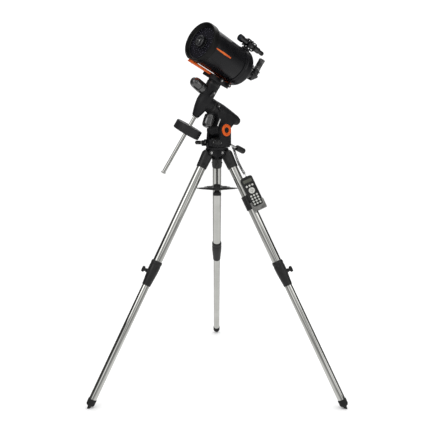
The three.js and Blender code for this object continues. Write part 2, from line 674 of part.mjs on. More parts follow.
function starDiagonal() {
  const half = DIAGONAL_HALF;
  const outline = [[half, half], [half, -half], [half - 8, -half], [-half, half - 8], [-half, half]];
  const housing = sidePlate(outline, -17, 17);
  const nose = alongX(rod(15.6, half - 1, half + 44, ROUND));
  const socket = rod(20, half - 1, half + 24, ROUND);
  const noseBore = alongX(rod(13.5, 0, half + 50, ROUND));
  const eyepieceBore = rod(16.2, -2, half + 30, ROUND);
  return cut(join(housing, nose, socket), noseBore, eyepieceBore);
}

function eyepiece() {
  return turned([
    [0, 24], [15.8, 24], [15.8, 43 + GAP], [17, 43 + GAP], [17, 58], [15.5, 60], [15.5, 86], [16.5, 90],
    [16.5, 100], [13, 103], [0, 103],
  ], ROUND);
}

// Frame of the finder: origin on its own axis, +X forwards.
const FINDER_RING = -62;

function finderBracket() {
  const ring = alongX(pipe(18.6, 23, FINDER_RING - 8, FINDER_RING + 8, ROUND));
  const backRing = alongX(pipe(18.6, 22, FINDER_RING - 46, FINDER_RING - 36, ROUND));
  const beam = block([FINDER_RING - 44, FINDER_RING + 6], [-6, 6], [-24, -20]);
  const low = FINDER_PAD_TOP + GAP - FINDER_RISE;
  const shoe = block([-85, -49], [-13, 13], [low, -22.5]);
  return join(ring, backRing, beam, shoe);
}

function finderScope() {
  return alongX(turned([
    [0, -182], [9, -182], [10.5, -178], [10.5, -150], [14, -146], [14, -132], [14.5, -128], [14.5, -22],
    [17, -18], [17, 2], [15.5, 3], [14.5, -3], [0, -3],
  ], ROUND));
}

function dovetailBar() {
  const half = 22;
  const section = [[-half, DOVETAIL_BOTTOM], [half, DOVETAIL_BOTTOM], [half - 5, DOVETAIL_TOP], [5 - half, DOVETAIL_TOP]];
  return plate(section.map(([y, z]) => [-z, y]), -88, 188).rotateY(Math.PI / 2);
}

// ---------------------------------------------------------------- assembly
const group = new THREE.Group();
const tripod = place(group);

piece(tripod, 'tripod_head', tripodHead(), 'blackPaint');
piece(tripod, 'center_rod', rod(5, BRACE_HEIGHT - 38, HEAD_TOP - 2, SMALL), 'polishedSteel');
piece(tripod, 'leg_brace', legBrace(), 'blackPaint');
piece(tripod, 'brace_knob', cut(braceKnob(), rod(5 + GAP, BRACE_HEIGHT - 40, BRACE_HEIGHT, SMALL)), 'blackPlastic');
const legs = Object.fromEntries(Object.keys(LEG_DIRECTIONS).map((side) => [side, leg(tripod, side)]));

const holderFrame = place(legs.right, [0, 0, -120], [0, 0, degrees(-150)]);
piece(holderFrame, 'control_holder', controlHolder(UPPER_TUBE_RADIUS), 'blackPlastic');
const controlFrame = place(holderFrame, CONTROL_PLACE);
piece(controlFrame, 'hand_control', controlBody(), 'blackPlastic');
piece(controlFrame, 'control_keypad', keypad(), 'greyKeys');

group.updateMatrixWorld(true);
const cordEnd = new THREE.Vector3(-4, -CONTROL_DEPTH / 2, CONTROL_LENGTH / 2 + 2 * GAP);
piece(tripod, 'hand_control_cord', controlCord(controlFrame.localToWorld(cordEnd)), 'blackRubber');

const mount = place(tripod, [0, 0, HEAD_TOP], [0, 0, NORTH]);
piece(mount, 'azimuth_base', azimuthBase(), 'blackPaint');
for (const [name, side] of [['near', 1], ['far', -1]]) {
  const screw = place(mount, [PEG_REACH, 0, SCREW_HEIGHT]);
  piece(screw, `azimuth_knob_${name}`, azimuthKnob(side), 'blackPlastic');
  const pivot = place(mount, LATITUDE_PIVOT);
  piece(pivot, `latitude_cap_${name}`, latitudeCap(side), 'orangeMetal');
}
piece(place(mount, HANDLE_START), 'latitude_handle', latitudeHandle(), 'blackPlastic');

const polar = place(mount, LATITUDE_PIVOT, [0, -LATITUDE, 0]);
piece(polar, 'ra_housing', polarHousing(), 'blackPaint');
piece(polar, 'ra_motor_cover', polarMotorCover(), 'blackPlastic');
piece(polar, 'polar_cap', polarCap(), 'blackPlastic');
piece(polar, 'ra_worm_wheel', wormWheel(), 'brass');
piece(polar, 'ra_shaft', polarShaft(), 'polishedSteel');
const polarClutch = place(polar, [80, 39, POLAR_AXIS_RISE + 2], [0, degrees(150), 0]);
piece(polarClutch, 'ra_clutch_lever', clutchLever(30), 'blackPlastic');

const crossing = place(polar, [DECLINATION_REACH, 0, POLAR_AXIS_RISE], [HOUR_ANGLE, 0, 0]);
piece(crossing, 'dec_housing', declinationHousing(), 'blackPaint');
piece(crossing, 'dec_motor_cover', declinationMotorCover(), 'blackPlastic');
const declinationClutch = place(crossing, [0, 36 + GAP, 62], [0, degrees(60), 0]);
piece(declinationClutch, 'dec_clutch_lever', clutchLever(26), 'blackPlastic');

const declination = place(crossing, [0, 0, 0], [0, 0, DECLINATION_TURN]);
piece(declination, 'saddle', saddle(), 'blackPaint');
for (const [index, name] of ['front', 'rear'].entries()) {
  const knob = place(declination, [SADDLE_KNOBS[index], 0, SADDLE_SCREW_RISE]);
  piece(knob, `saddle_knob_${name}`, saddleKnob(), 'blackPlastic');
}
piece(declination, 'counterweight_bar', counterweightBar(), 'polishedSteel');
const weight = place(declination, [0, 0, -WEIGHT_PLACE]);
piece(weight, 'counterweight', counterweight(), 'castIron');
piece(weight, 'counterweight_knob', counterweightKnob(), 'blackPlastic');

const optics = place(declination, [0, 0, TUBE_AXIS_RISE]);
piece(optics, 'dovetail_bar', dovetailBar(), 'orangeMetal');
piece(optics, 'front_ring', frontRing(), 'blackGloss');
piece(optics, 'main_tube', mainTube(), 'blackGloss');
piece(optics, 'corrector_plate', corrector(), 'glass');
piece(optics, 'secondary_cell', secondaryCell(), 'blackPlastic');
piece(optics, 'rear_cell', rearCell(), 'blackPaint');
piece(optics, 'primary_mirror', primaryMirror(), 'mirror');
piece(optics, 'focus_knob', focusKnob(), 'blackRubber');
piece(optics, 'visual_back', visualBack(), 'blackPaint');
const diagonal = place(optics, [DIAGONAL_PLACE, 0, 0]);
piece(diagonal, 'star_diagonal', starDiagonal(), 'blackPaint');
piece(diagonal, 'eyepiece', eyepiece(), 'blackGloss');
const finder = place(optics, [0, 0, FINDER_RISE]);
piece(finder, 'finder_bracket', finderBracket(), 'blackPaint');
piece(finder, 'finder_scope', finderScope(), 'blackGloss');

// The floor rectangle round the feet is centred on the origin.
group.updateMatrixWorld(true);
const bounds = new THREE.Box3().setFromObject(group, true);
tripod.position.y = -(bounds.min.y + bounds.max.y) / 2;

export default group;
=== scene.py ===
"""A six-inch Schmidt-Cassegrain telescope on a driven equatorial mount and a steel tripod.

Lengths are millimetres in each part's own frame; build() turns them into metres in the CAD frame.
"""
from math import cos, pi, radians, sin, tan
import bmesh
import bpy
from mathutils import Matrix, Vector


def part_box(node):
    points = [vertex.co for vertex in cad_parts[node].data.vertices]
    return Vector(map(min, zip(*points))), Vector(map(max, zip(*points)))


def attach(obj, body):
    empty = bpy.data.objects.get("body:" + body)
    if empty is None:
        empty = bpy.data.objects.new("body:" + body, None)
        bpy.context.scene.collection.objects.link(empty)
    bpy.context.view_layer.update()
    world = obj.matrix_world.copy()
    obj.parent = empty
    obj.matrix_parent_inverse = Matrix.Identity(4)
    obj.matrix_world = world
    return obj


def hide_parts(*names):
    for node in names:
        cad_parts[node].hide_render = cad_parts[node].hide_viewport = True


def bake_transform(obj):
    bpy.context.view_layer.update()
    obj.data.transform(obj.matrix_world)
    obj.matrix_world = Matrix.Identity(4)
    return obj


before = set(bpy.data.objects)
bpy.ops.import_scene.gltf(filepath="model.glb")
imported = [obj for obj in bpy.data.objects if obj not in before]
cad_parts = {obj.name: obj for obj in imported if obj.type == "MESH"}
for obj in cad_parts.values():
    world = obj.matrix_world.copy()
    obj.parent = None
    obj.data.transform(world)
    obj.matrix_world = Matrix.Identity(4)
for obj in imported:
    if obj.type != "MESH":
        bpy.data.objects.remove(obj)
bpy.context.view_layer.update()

METRES = 0.001  # metres in one of this file's millimetres


def in_scene(name, data):
    made = bpy.data.objects.new(name, data)
    bpy.context.scene.collection.objects.link(made)
    return made


def dial(node, **settings):
    """Sets a node's inputs; an underscore stands for the space in an input's name."""
    for key, value in settings.items():
        node.inputs[key.replace("_", " ")].default_value = value


# ---------------------------------------------------------------- camera
LOOKS_DOWN, LOOKS_LEFT = 7.62, 0.17
data = bpy.data.cameras.new("camera")
data.sensor_width = 36
data.lens = 46.54
data.clip_end = 100
camera = in_scene("camera", data)
camera.location = (-0.0097, -2.9958, 1.2613)
camera.rotation_euler = (radians(90 - LOOKS_DOWN), 0, radians(LOOKS_LEFT))
bpy.context.scene.camera = camera


# ---------------------------------------------------------------- frames
def turn(axis, angle):
    return Matrix.Rotation(radians(angle), 4, axis)


def shift(x, y, z):
    return Matrix.Translation((x, y, z))


def middle(node):
    low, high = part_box(node)
    return [(a + b) * 500 for a, b in zip(low, high)]


ALONG_X = turn("Y", 90)  # a part turned about Z comes to lie along X
ALONG_Y = turn("X", -90)
BACK = turn("X", 180)

HEAD_TOP = 1222
FOOT_CIRCLE = 704
SPLAY = 28.6
HINGE_RADIUS = 52
HINGE_HEIGHT = (FOOT_CIRCLE - HINGE_RADIUS) / tan(radians(SPLAY))
LEG_LENGTH = HINGE_HEIGHT / cos(radians(SPLAY))
LEG_DIRECTIONS = {"left": 210, "right": 330, "rear": 90}
NORTH = 221
PIVOT = (-12, 0, 86)  # the latitude axis on the mount's base
PEG_REACH = 62
LATITUDE = 21.6
HOUR_ANGLE = -22
POLAR_RISE = 91
CROSSING_NORTH = 145
TUBE_TURN = 5
TUBE_RISE = 229.5
FINDER_RISE = 122
DIAGONAL_BACK = -199
CONTROL_SPOT = (-33, 49, -127)  # the hand control in its holder

TRIPOD = shift(0, middle("center_rod")[1], 0)
LEG = {
    side: TRIPOD @ turn("Z", angle) @ shift(HINGE_RADIUS, 0, HINGE_HEIGHT) @ turn("Y", -SPLAY)
    for side, angle in LEG_DIRECTIONS.items()
}
MOUNT = TRIPOD @ shift(0, 0, HEAD_TOP) @ turn("Z", NORTH)
POLAR = MOUNT @ shift(*PIVOT) @ turn("Y", -LATITUDE)
POLAR_AXIS = POLAR @ shift(0, 0, POLAR_RISE)
CROSSING = POLAR @ shift(CROSSING_NORTH, 0, POLAR_RISE) @ turn("X", HOUR_ANGLE)
DECLINATION = CROSSING @ turn("Z", TUBE_TURN)
OPTICS = DECLINATION @ shift(0, 0, TUBE_RISE)
DIAGONAL = OPTICS @ shift(DIAGONAL_BACK, 0, 0)
FINDER = OPTICS @ shift(0, 0, FINDER_RISE)
HOLDER = LEG["right"] @ shift(0, 0, -120) @ turn("Z", -150)
CONTROL = HOLDER @ shift(*CONTROL_SPOT)


# ---------------------------------------------------------------- materials
def node_tree(name):
    made = bpy.data.materials.new(name)
    made.use_nodes = True
    tree = made.node_tree
    shader = tree.nodes["Principled BSDF"]
    place = tree.nodes.new("ShaderNodeTexCoord").outputs["Object"]
    return made, tree, shader, place


def noise(tree, place, scale, detail=3.0, stretch=None):
    if stretch:
        mapping = tree.nodes.new("ShaderNodeMapping")
        dial(mapping, Scale=stretch)
        tree.links.new(place, mapping.inputs["Vector"])
        place = mapping.outputs["Vector"]
    texture = tree.nodes.new("ShaderNodeTexNoise")
    dial(texture, Scale=scale, Detail=detail)
    tree.links.new(place, texture.inputs["Vector"])
    return texture.outputs["Fac"]


def spread(tree, value, low, high, start=0.35, stop=0.65):
    """Stretches the middle of a noise, start to stop, to run from low to high."""
    remap = tree.nodes.new("ShaderNodeMapRange")
    dial(remap, From_Min=start, From_Max=stop, To_Min=low, To_Max=high)
    tree.links.new(value, remap.inputs["Value"])
    return remap.outputs["Result"]


def two_tones(tree, value, dark, light, start=0.35, stop=0.65):
    ramp = tree.nodes.new("ShaderNodeValToRGB")
    for element, position, tone in zip(ramp.color_ramp.elements, (start, stop), (dark, light)):
        element.position = position
        element.color = (*tone, 1)
    tree.links.new(value, ramp.inputs["Fac"])
    return ramp.outputs["Color"]


GRAIN_DEPTH = 0.0004  # metres


def bump(tree, shader, value, strength):
    relief = tree.nodes.new("ShaderNodeBump")
    dial(relief, Strength=strength, Distance=GRAIN_DEPTH)
    tree.links.new(value, relief.inputs["Height"])
    tree.links.new(relief.outputs["Normal"], shader.inputs["Normal"])


def finish(name, dark, light, rough, grain, relief, metallic=0.0, coat=0.0, patches=9.0, stretch=None, gloss=0.5):
    """Blotches of colour, uneven gloss and a fine grain; rough is (smoothest, roughest)."""
    made, tree, shader, place = node_tree(name)
    dial(shader, Specular_IOR_Level=gloss, Metallic=metallic, Coat_Weight=coat, Coat_Roughness=0.06)
    blotches = noise(tree, place, patches, 4.0)
    tree.links.new(two_tones(tree, blotches, dark, light), shader.inputs["Base Color"])
    smears = noise(tree, place, patches * 4, 5.0, stretch)
    tree.links.new(spread(tree, smears, *rough), shader.inputs["Roughness"])
    bump(tree, shader, noise(tree, place, grain, 2.0, stretch), relief)
    return made


def clear_glass(name, tint, rough):
    made, tree, shader, place = node_tree(name)
    dial(shader, Base_Color=(*tint, 1), Transmission_Weight=0.0, Alpha=0.4, IOR=1.4)
    dust = noise(tree, place, 60.0, 6.0)
    tree.links.new(spread(tree, dust, rough * 0.5, rough * 1.5), shader.inputs["Roughness"])
    return made


PAINT = finish("black_cast_paint", (0.007, 0.007, 0.008), (0.013, 0.013, 0.014), (0.34, 0.48), 900, 0.35, gloss=0.24)
GLOSS = finish("black_gloss_paint", (0.003, 0.003, 0.004), (0.005, 0.005, 0.006), (0.2, 0.3), 500, 0.03, gloss=0.3)
MOULDED = finish("black_moulding", (0.007, 0.007, 0.007), (0.014, 0.014, 0.014), (0.30, 0.42), 1500, 0.3, gloss=0.42)
SHINY = finish("glossy_moulding", (0.004, 0.004, 0.005), (0.007, 0.007, 0.008), (0.14, 0.24), 700, 0.06, coat=0.5)
RUBBER = finish("black_rubber", (0.007, 0.007, 0.007), (0.014, 0.014, 0.014), (0.6, 0.8), 1100, 0.5, gloss=0.3)
JACKET = finish("cable_jacket", (0.008, 0.008, 0.008), (0.014, 0.014, 0.014), (0.38, 0.5), 1200, 0.2, gloss=0.35)
ORANGE = finish("orange_anodised", (0.74, 0.105, 0.012), (0.86, 0.145, 0.018), (0.24, 0.36), 1600, 0.2, metallic=0.45)
STEEL = finish("polished_steel", (0.60, 0.60, 0.57), (0.68, 0.68, 0.65), (0.05, 0.09), 120, 0.004, metallic=1.0)
BOLT = finish("zinc_bolt", (0.55, 0.55, 0.54), (0.72, 0.72, 0.70), (0.2, 0.34), 1800, 0.15, metallic=1.0)
IRON = finish("painted_iron", (0.008, 0.008, 0.009), (0.016, 0.016, 0.017), (0.42, 0.55), 700, 0.5, gloss=0.28)
BRASS = finish("machined_brass", (0.45, 0.30, 0.10), (0.60, 0.42, 0.18), (0.22, 0.34), 1500, 0.2, metallic=1.0)
MIRROR = finish("aluminised_mirror", (0.88, 0.89, 0.91), (0.93, 0.94, 0.95), (0.02, 0.05), 50, 0.0, metallic=1.0)
FLAT_BLACK = finish("flat_black", (0.004, 0.004, 0.004), (0.008, 0.008, 0.008), (0.7, 0.9), 900, 0.4)
KEYS = finish("soft_keys", (0.42, 0.43, 0.40), (0.52, 0.52, 0.49), (0.45, 0.6), 1500, 0.2)
SMOKE = finish("smoked_plastic", (0.06, 0.06, 0.057), (0.17, 0.17, 0.16), (0.12, 0.22), 900, 0.05, coat=0.6, patches=40)
THREAD = finish("oiled_thread", (0.035, 0.035, 0.034), (0.07, 0.07, 0.066), (0.25, 0.4), 1800, 0.1, metallic=0.5)
SCREEN = finish("display_window", (0.055, 0.058, 0.045), (0.08, 0.084, 0.068), (0.08, 0.14), 300, 0.02, coat=0.5)
WHITE = finish("white_scale", (0.62, 0.62, 0.60), (0.74, 0.74, 0.72), (0.4, 0.55), 900, 0.1)
GLASS = clear_glass("coated_corrector", (0.020, 0.019, 0.026), 0.05)
RING_BLACK = finish("ring_paint", (0.003, 0.003, 0.003), (0.005, 0.005, 0.005), (0.3, 0.42), 700, 0.1, gloss=0.2)
LACQUER = finish("motor_lacquer", (0.008, 0.008, 0.008), (0.014, 0.014, 0.014), (0.14, 0.22), 500, 0.03, coat=1.0)
dial(LACQUER.node_tree.nodes["Principled BSDF"], Coat_IOR=1.85)
STRIPE = finish("orange_stripe", (0.46, 0.055, 0.012), (0.70, 0.16, 0.02), (0.3, 0.4), 900, 0.05, gloss=0.2, patches=60)
LENS = finish("dark_lens", (0.006, 0.008, 0.014), (0.010, 0.014, 0.022), (0.02, 0.05), 60, 0.0, coat=1.0)


# ---------------------------------------------------------------- mesh helpers
def soften(profile, radius, steps=3):
    """Rounds the corners of a profile; the ends stay, or all corners go round if it is closed."""
    closed = profile[0] == profile[-1]
    points = [Vector(point) for point in (profile[:-1] if closed else profile)]
    count = len(points)
    out = []
    for index, corner in enumerate(points):
        if not closed and index in (0, count - 1):
            out.append(corner)
            continue
        before = points[index - 1] - corner
        after = points[(index + 1) % count] - corner
        bend = before.angle(after, pi)
        reach = min(radius, before.length * 0.45, after.length * 0.45)
        if bend > radians(165) or reach < 1e-3:
            out.append(corner)
            continue
        start = corner + before.normalized() * reach
        end = corner + after.normalized() * reach
        for step in range(steps + 1):
            t = step / steps
            out.append(start * (1 - t) ** 2 + corner * 2 * t * (1 - t) + end * t * t)
    if closed:
        out.append(out[0].copy())
    return [tuple(point) for point in out]


def turned(profile, sides=96, radius=0.0, matrix=None):
    """A solid turned about Z from a list of (radius, z)."""
    if radius:
        profile = soften(profile, radius)
    closed = profile[0] == profile[-1]
    if closed:
        profile = profile[:-1]
    bm = bmesh.new()
    rings = []
    for reach, z in profile:
        if reach < 1e-6:
            rings.append([bm.verts.new((0, 0, z))])
            continue
        angles = [2 * pi * side / sides for side in range(sides)]
        rings.append([bm.verts.new((reach * cos(a), reach * sin(a), z)) for a in angles])
    pairs = list(zip(rings, rings[1:]))
    if closed:
        pairs.append((rings[-1], rings[0]))
    for low, high in pairs:
        for side in range(sides):
            after = (side + 1) % sides
            if len(low) == 1 and len(high) == 1:
                continue
            if len(low) == 1:
                bm.faces.new((low[0], high[after], high[side]))
            elif len(high) == 1:
                bm.faces.new((low[side], low[after], high[0]))
            else:
                bm.faces.new((low[side], low[after], high[after], high[side]))
    bmesh.ops.recalc_face_normals(bm, faces=bm.faces)
    if matrix:
        bm.transform(matrix)
    return bm


def spun(profile, sides=96, radius=0.0, matrix=None):
    """A solid turned about Z; its flat ends reach in to the axis from the first and last (radius, z)."""
    return turned([(0, profile[0][1])] + profile + [(0, profile[-1][1])], sides, radius, matrix)


def hollow(profile, sides=96, radius=0.0, matrix=None):
    """A ring turned about Z from the (radius, z) round its section."""
    return turned(profile + profile[:1], sides, radius, matrix)


def rod(reach, low, high, sides=64, radius=0.0, matrix=None):
    return spun([(reach, low), (reach, high)], sides, radius, matrix)


def pipe(inner, outer, low, high, sides=96, radius=0.0, matrix=None):
    return hollow([(inner, low), (outer, low), (outer, high), (inner, high)], sides, radius, matrix)


def plate(outline, low, high, radius=0.0, matrix=None):
    """An upright prism over an outline in X and Y, its sharp edges rounded."""
    bm = bmesh.new()
    base = bm.faces.new([bm.verts.new((x, y, low)) for x, y in outline])
    top = bmesh.ops.extrude_face_region(bm, geom=[base])
    lifted = [item for item in top["geom"] if isinstance(item, bmesh.types.BMVert)]
    bmesh.ops.translate(bm, verts=lifted, vec=(0, 0, high - low))
    bmesh.ops.recalc_face_normals(bm, faces=bm.faces)
    if radius:
        sharp = [edge for edge in bm.edges if edge.calc_face_angle(0) > radians(35)]
        bmesh.ops.bevel(bm, geom=sharp, offset=radius, segments=3, affect="EDGES", profile=0.5,
                        clamp_overlap=True)
    if matrix:
        bm.transform(matrix)
    return bm


def side_plate(outline, low, high, radius=0.0, matrix=None):
    """A prism over an outline in X and Z, thick along Y."""
    upright = turn("X", 90)
    bm = plate(outline, -high, -low, radius, upright)
    if matrix:
        bm.transform(matrix)
    return bm


def block(x, y, z, radius=0.0, matrix=None):
    outline = [(x[0], y[0]), (x[1], y[0]), (x[1], y[1]), (x[0], y[1])]
    return plate(outline, z[0], z[1], radius, matrix)


def arc(cx, cy, reach, start, stop, steps=16):
    """Points on a circle from one angle to another, in degrees."""
    angles = [radians(start + (stop - start) * step / steps) for step in range(steps + 1)]
    return [(cx + reach * cos(a), cy + reach * sin(a)) for a in angles]


def rounded(width, height, reach, cx=0.0, cy=0.0):
    """A rectangle's outline, its corners rounded."""
    x, y = width / 2 - reach, height / 2 - reach
    corners = [(x, y, 0), (-x, y, 90), (-x, -y, 180), (x, -y, 270)]
    points = []
    for dx, dy, start in corners:
        points += arc(cx + dx, cy + dy, reach, start, start + 90, 6)
    return points


def scalloped(reach, lobes, depth=0.05, steps=12):
    """A knob's outline; depth is the hollows' depth as a part of its reach, steps the points in each lobe."""
    points = []
    for step in range(lobes * steps):
        angle = 2 * pi * step / (lobes * steps)
        out = reach * (1 - depth + depth * cos(lobes * angle))
        points.append((out * cos(angle), out * sin(angle)))
    return points


def ridges(count, circle, *size, matrix=Matrix()):
    """Thin rods standing in a ring about Z, for a knurl or for flutes; size is what rod() takes."""
    step = 360 / count
    return [rod(*size, matrix @ turn("Z", index * step) @ shift(circle, 0, 0)) for index in range(count)]


def merged(*parts):
    """One mesh from several, left crossing each other."""
    whole = bmesh.new()
    for part in parts:
        scratch = bpy.data.meshes.new("scratch")
        part.to_mesh(scratch)
        part.free()
        whole.from_mesh(scratch)
        bpy.data.meshes.remove(scratch)
    return whole


def with_modifier(bm, kind, **settings):
    """The bmesh after one modifier, applied."""
    mesh = bpy.data.meshes.new("scratch")
    bm.to_mesh(mesh)
    bm.free()
    work = in_scene("scratch", mesh)
    modifier = work.modifiers.new("work", kind)
    for key, value in settings.items():
        setattr(modifier, key, value)
    graph = bpy.context.evaluated_depsgraph_get()
    result = bmesh.new()
    result.from_object(work, graph)
    bpy.data.objects.remove(work)
    bpy.data.meshes.remove(mesh)
    return result


def cut(bm, *tools):
    """Takes the tools out of a solid."""
    cutter = bpy.data.meshes.new("cutter")
    whole = merged(*tools)
    whole.to_mesh(cutter)
    whole.free()
    knife = in_scene("cutter", cutter)
    result = with_modifier(bm, "BOOLEAN", operation="DIFFERENCE", solver="EXACT", use_self=True, object=knife)
    bpy.data.objects.remove(knife)
    bpy.data.meshes.remove(cutter)
    return result


def cast(voxel, passes, *parts):
    """Parts fused into one casting, with its inside corners filled as a foundry does."""
    size = voxel * 1
    skin = with_modifier(merged(*parts), "REMESH", mode="VOXEL", voxel_size=size, use_smooth_shade=True)
    smooth = with_modifier(skin, "SMOOTH", factor=0.5, iterations=passes)
    return with_modifier(smooth, "DECIMATE", ratio=0.45)


def build(name, body, material, bm, place, replaces=(), sharp=38):
    """Makes the piece, in metres in the CAD frame, and lets it ride on its body."""
    mesh = bpy.data.meshes.new(name)
    bm.transform(Matrix.Scale(METRES, 4) @ place)
    bmesh.ops.recalc_face_normals(bm, faces=bm.faces)
    for face in bm.faces:
        face.smooth = True
    for edge in bm.edges:
        if len(edge.link_faces) == 2 and edge.calc_face_angle(0) > radians(sharp):
            edge.smooth = False
    bm.to_mesh(mesh)
    bm.free()
    made = in_scene(name, mesh)
    mesh.materials.append(material)
    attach(made, body)
    if replaces:
        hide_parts(*replaces)


# ---------------------------------------------------------------- screws and knobs
def socket_screw(name, body, place, reach, material=BOLT):
    """A cap screw with a hexagon socket; +Z is out of the surface."""
    head = spun([(reach, -0.6), (reach, reach * 0.7)], 40, 0.5)
    key = plate(arc(0, 0, reach * 0.52, 0, 300, 5), reach * 0.25, reach)
    build(name, body, material, cut(head, key), place)


def screw_circle(name, count, first, spot, reach, material=BOLT):
    """Screws evenly round the optical axis, the first one at an angle."""
    for index in range(count):
        place = OPTICS @ ALONG_X @ turn("Z", first + index * 360 / count) @ spot
        socket_screw(f"{name}_{index}", "optical_tube", place, reach, material)


def thumb_screw(name, body, place, reach, height):
    """A knurled screw; +Z is out of the surface."""
    stem = rod(1.9, -2, height * 0.45, 24, 0.2)
    head = plate(scalloped(reach, 20, 0.03, 4), height * 0.4, height, 0.5)
    build(name, body, BOLT, merged(stem, head), place, (), 30)


def knob(name, body, place, shaft, grip, collar, node, slot="moulded_black", material=MOULDED):
    """A turned shaft with its lobed grip; name has a gap for the part's own word."""
    build(name.format("shaft"), body, BOLT, shaft, place)
    build(name.format("grip"), body, material, merged(grip, collar), place, [node], 30)


def hex_bolt(name, body, place, across, height, material=BOLT):
    """A bolt head with its washer; +Z is out of the surface."""
    outline = arc(0, 0, across / 2 / cos(radians(30)), 0, 300, 5)
    head = plate(outline, 1.2, 1.2 + height, 0.8)
    washer = rod(across * 0.75, 0, 1.4, 40, 0.4)
    build(name, body, material, merged(washer, head), place)


# ---------------------------------------------------------------- tripod head and brace
BRACE_HEIGHT = 1020


def tripod_head():
    low = HEAD_TOP - 13
    parts = [
        rod(58, low, HEAD_TOP - 0.5, 96, 2),
        rod(27, HEAD_TOP - 62, low + 1, 64, 2),
        rod(31, HEAD_TOP - 24, low + 1, 64, 2),
    ]
    for direction in LEG_DIRECTIONS.values():
        ear = [(20, low + 2), (20, HINGE_HEIGHT - 22), (HINGE_RADIUS - 6, HINGE_HEIGHT - 13)]
        ear += arc(HINGE_RADIUS, HINGE_HEIGHT, 14, -117, 36, 14) + [(56, low + 2)]
        for inside in (26.5, -35.5):
            parts.append(side_plate(ear, inside, inside + 9, 1.2, turn("Z", direction)))
    arm = plate(rounded(34, 22, 8, 48, 0), low + 4, HEAD_TOP - 0.4, 1, turn("Z", NORTH))
    body = cast(1.5, 3, *parts, arm)
    peg = rod(6, HEAD_TOP - 1, HEAD_TOP + 24, 40, 1.2, turn("Z", NORTH) @ shift(PEG_REACH, 0, 0))
    build("tripod_head_casting", "tripod", PAINT, body, TRIPOD, ["tripod_head"])
    build("azimuth_peg", "tripod", IRON, peg, TRIPOD)
    for side, direction in LEG_DIRECTIONS.items():
        for end, flip in (("a", 0), ("b", 180)):
            place = TRIPOD @ turn("Z", direction) @ shift(HINGE_RADIUS, 0, HINGE_HEIGHT) @ turn("Z", flip)
            hex_bolt(f"{side}_hinge_bolt_{end}", "tripod", place @ shift(0, 35.5, 0) @ ALONG_Y, 9, 5)


def brace():
    height, reach, waist, tip = BRACE_HEIGHT, 117.5, 62, 6
    outline = []
    for direction in sorted(LEG_DIRECTIONS.values()):
        spin = turn("Z", direction)
        arm = [(waist + 8, -tip - 13), (reach - 20, -tip - 2)]
        arm += arc(reach - tip, 0, tip, -90, 90, 10)
        arm += [(reach - 20, tip + 2), (waist + 8, tip + 13)]
        outline += [tuple((spin @ Vector((x, y, 0)))[:2]) for x, y in arm]
    tray = plate(outline, height - 3, height + 2)
    hub = spun([(16, height - 17), (22, height - 3), (22, height + 2), (14, height + 16)], 96, 1.5)
    ribs = []
    rims = []
    holes = [rod(5.4, height - 40, height + 40, 40)]
    for direction in LEG_DIRECTIONS.values():
        rib = [(10, height - 2), (10, height - 15), (30, height - 14), (106, height - 5), (106, height - 2)]
        ribs.append(side_plate(rib, -3, 3, 0.8, turn("Z", direction)))
        for x, y, r in ((-42, 0, 14), (52, 17, 10), (52, -17, 10)):
            place = turn("Z", direction) @ shift(x, y, 0)
            holes.append(rod(r, height - 20, height + 6, 48, 0, place))
            rims.append(pipe(r + 0.05, r + 2.2, height - 3.2, height + 3.4, 48, 0.6, place))
    body = cut(cast(1.2, 2, tray, hub, *ribs), *holes)
    build("leg_brace_moulding", "brace", MOULDED, body, TRIPOD, ["leg_brace"])
    build("leg_brace_rims", "brace", MOULDED, merged(*rims), TRIPOD)


def brace_knob():
    top = BRACE_HEIGHT - 17.3
    grip = plate(scalloped(21.5, 8, 0.07), top - 26, top - 10, 1.8)
    collar = spun([(18, top - 11), (12, top)], 64, 1)
    body = cut(merged(grip, collar), rod(5.35, top - 40, top + 5, 40))
    build("brace_knob_moulding", "brace_lock", MOULDED, body, TRIPOD, ["brace_knob"], 30)


def center_rod():
    """A threaded rod; its thread is a row of ridges."""
    low, high, pitch = 982, HEAD_TOP - 3, 1.75
    profile = [(4.3, low)]
    for row in range(int((high - low) / pitch)):
        base = low + (row + 0.5) * pitch
        profile += [(4.35, base), (4.95, base + pitch * 0.45)]
    profile.append((4.3, high))
    build("center_rod_thread", "tripod", THREAD, spun(profile, 24), TRIPOD, ["center_rod"], 80)


# ---------------------------------------------------------------- legs
SLEEVE_BOTTOM, CLAMP_TOP, CLAMP_BOTTOM = 86, 598, 728
UPPER_BOTTOM, LOWER_TOP = 686, 611
UPPER_RADIUS, LOWER_RADIUS = 22.5, 18.6
FOOT_TOP = LEG_LENGTH - 46


def leg_sleeve(side):
    skin = spun([
        (25.2, -SLEEVE_BOTTOM), (25.6, -SLEEVE_BOTTOM + 6), (26.2, -SLEEVE_BOTTOM + 8), (29.3, -16),
        (29.3, -5), (22, 5.5),
    ], 96, 2.5)
    trimmed = with_modifier(skin, "REMESH", mode="VOXEL", voxel_size=1.1, use_smooth_shade=True)
    tools = [
        block((-60, 60), (26, 50), (-200, 40)),
        block((-60, 60), (-50, -26), (-200, 40)),
        rod(UPPER_RADIUS + 0.3, -200, -18, 96),
        block((-60, -9), (-40, 40), (-10, 20)),
        rod(5.6, -40, 40, 40, 0, ALONG_Y),
    ]
    body = cut(trimmed, *tools)
    build(f"{side}_sleeve_moulding", f"{side}_leg", MOULDED, body, LEG[side], [f"{side}_leg_sleeve"])
    for y, flip in ((26, 0), (-26, 180)):
        place = LEG[side] @ shift(8, y, -SLEEVE_BOTTOM + 20) @ turn("Z", flip) @ ALONG_Y
        hex_bolt(f"{side}_sleeve_screw_{flip}", f"{side}_leg", place, 6, 1.6, IRON)


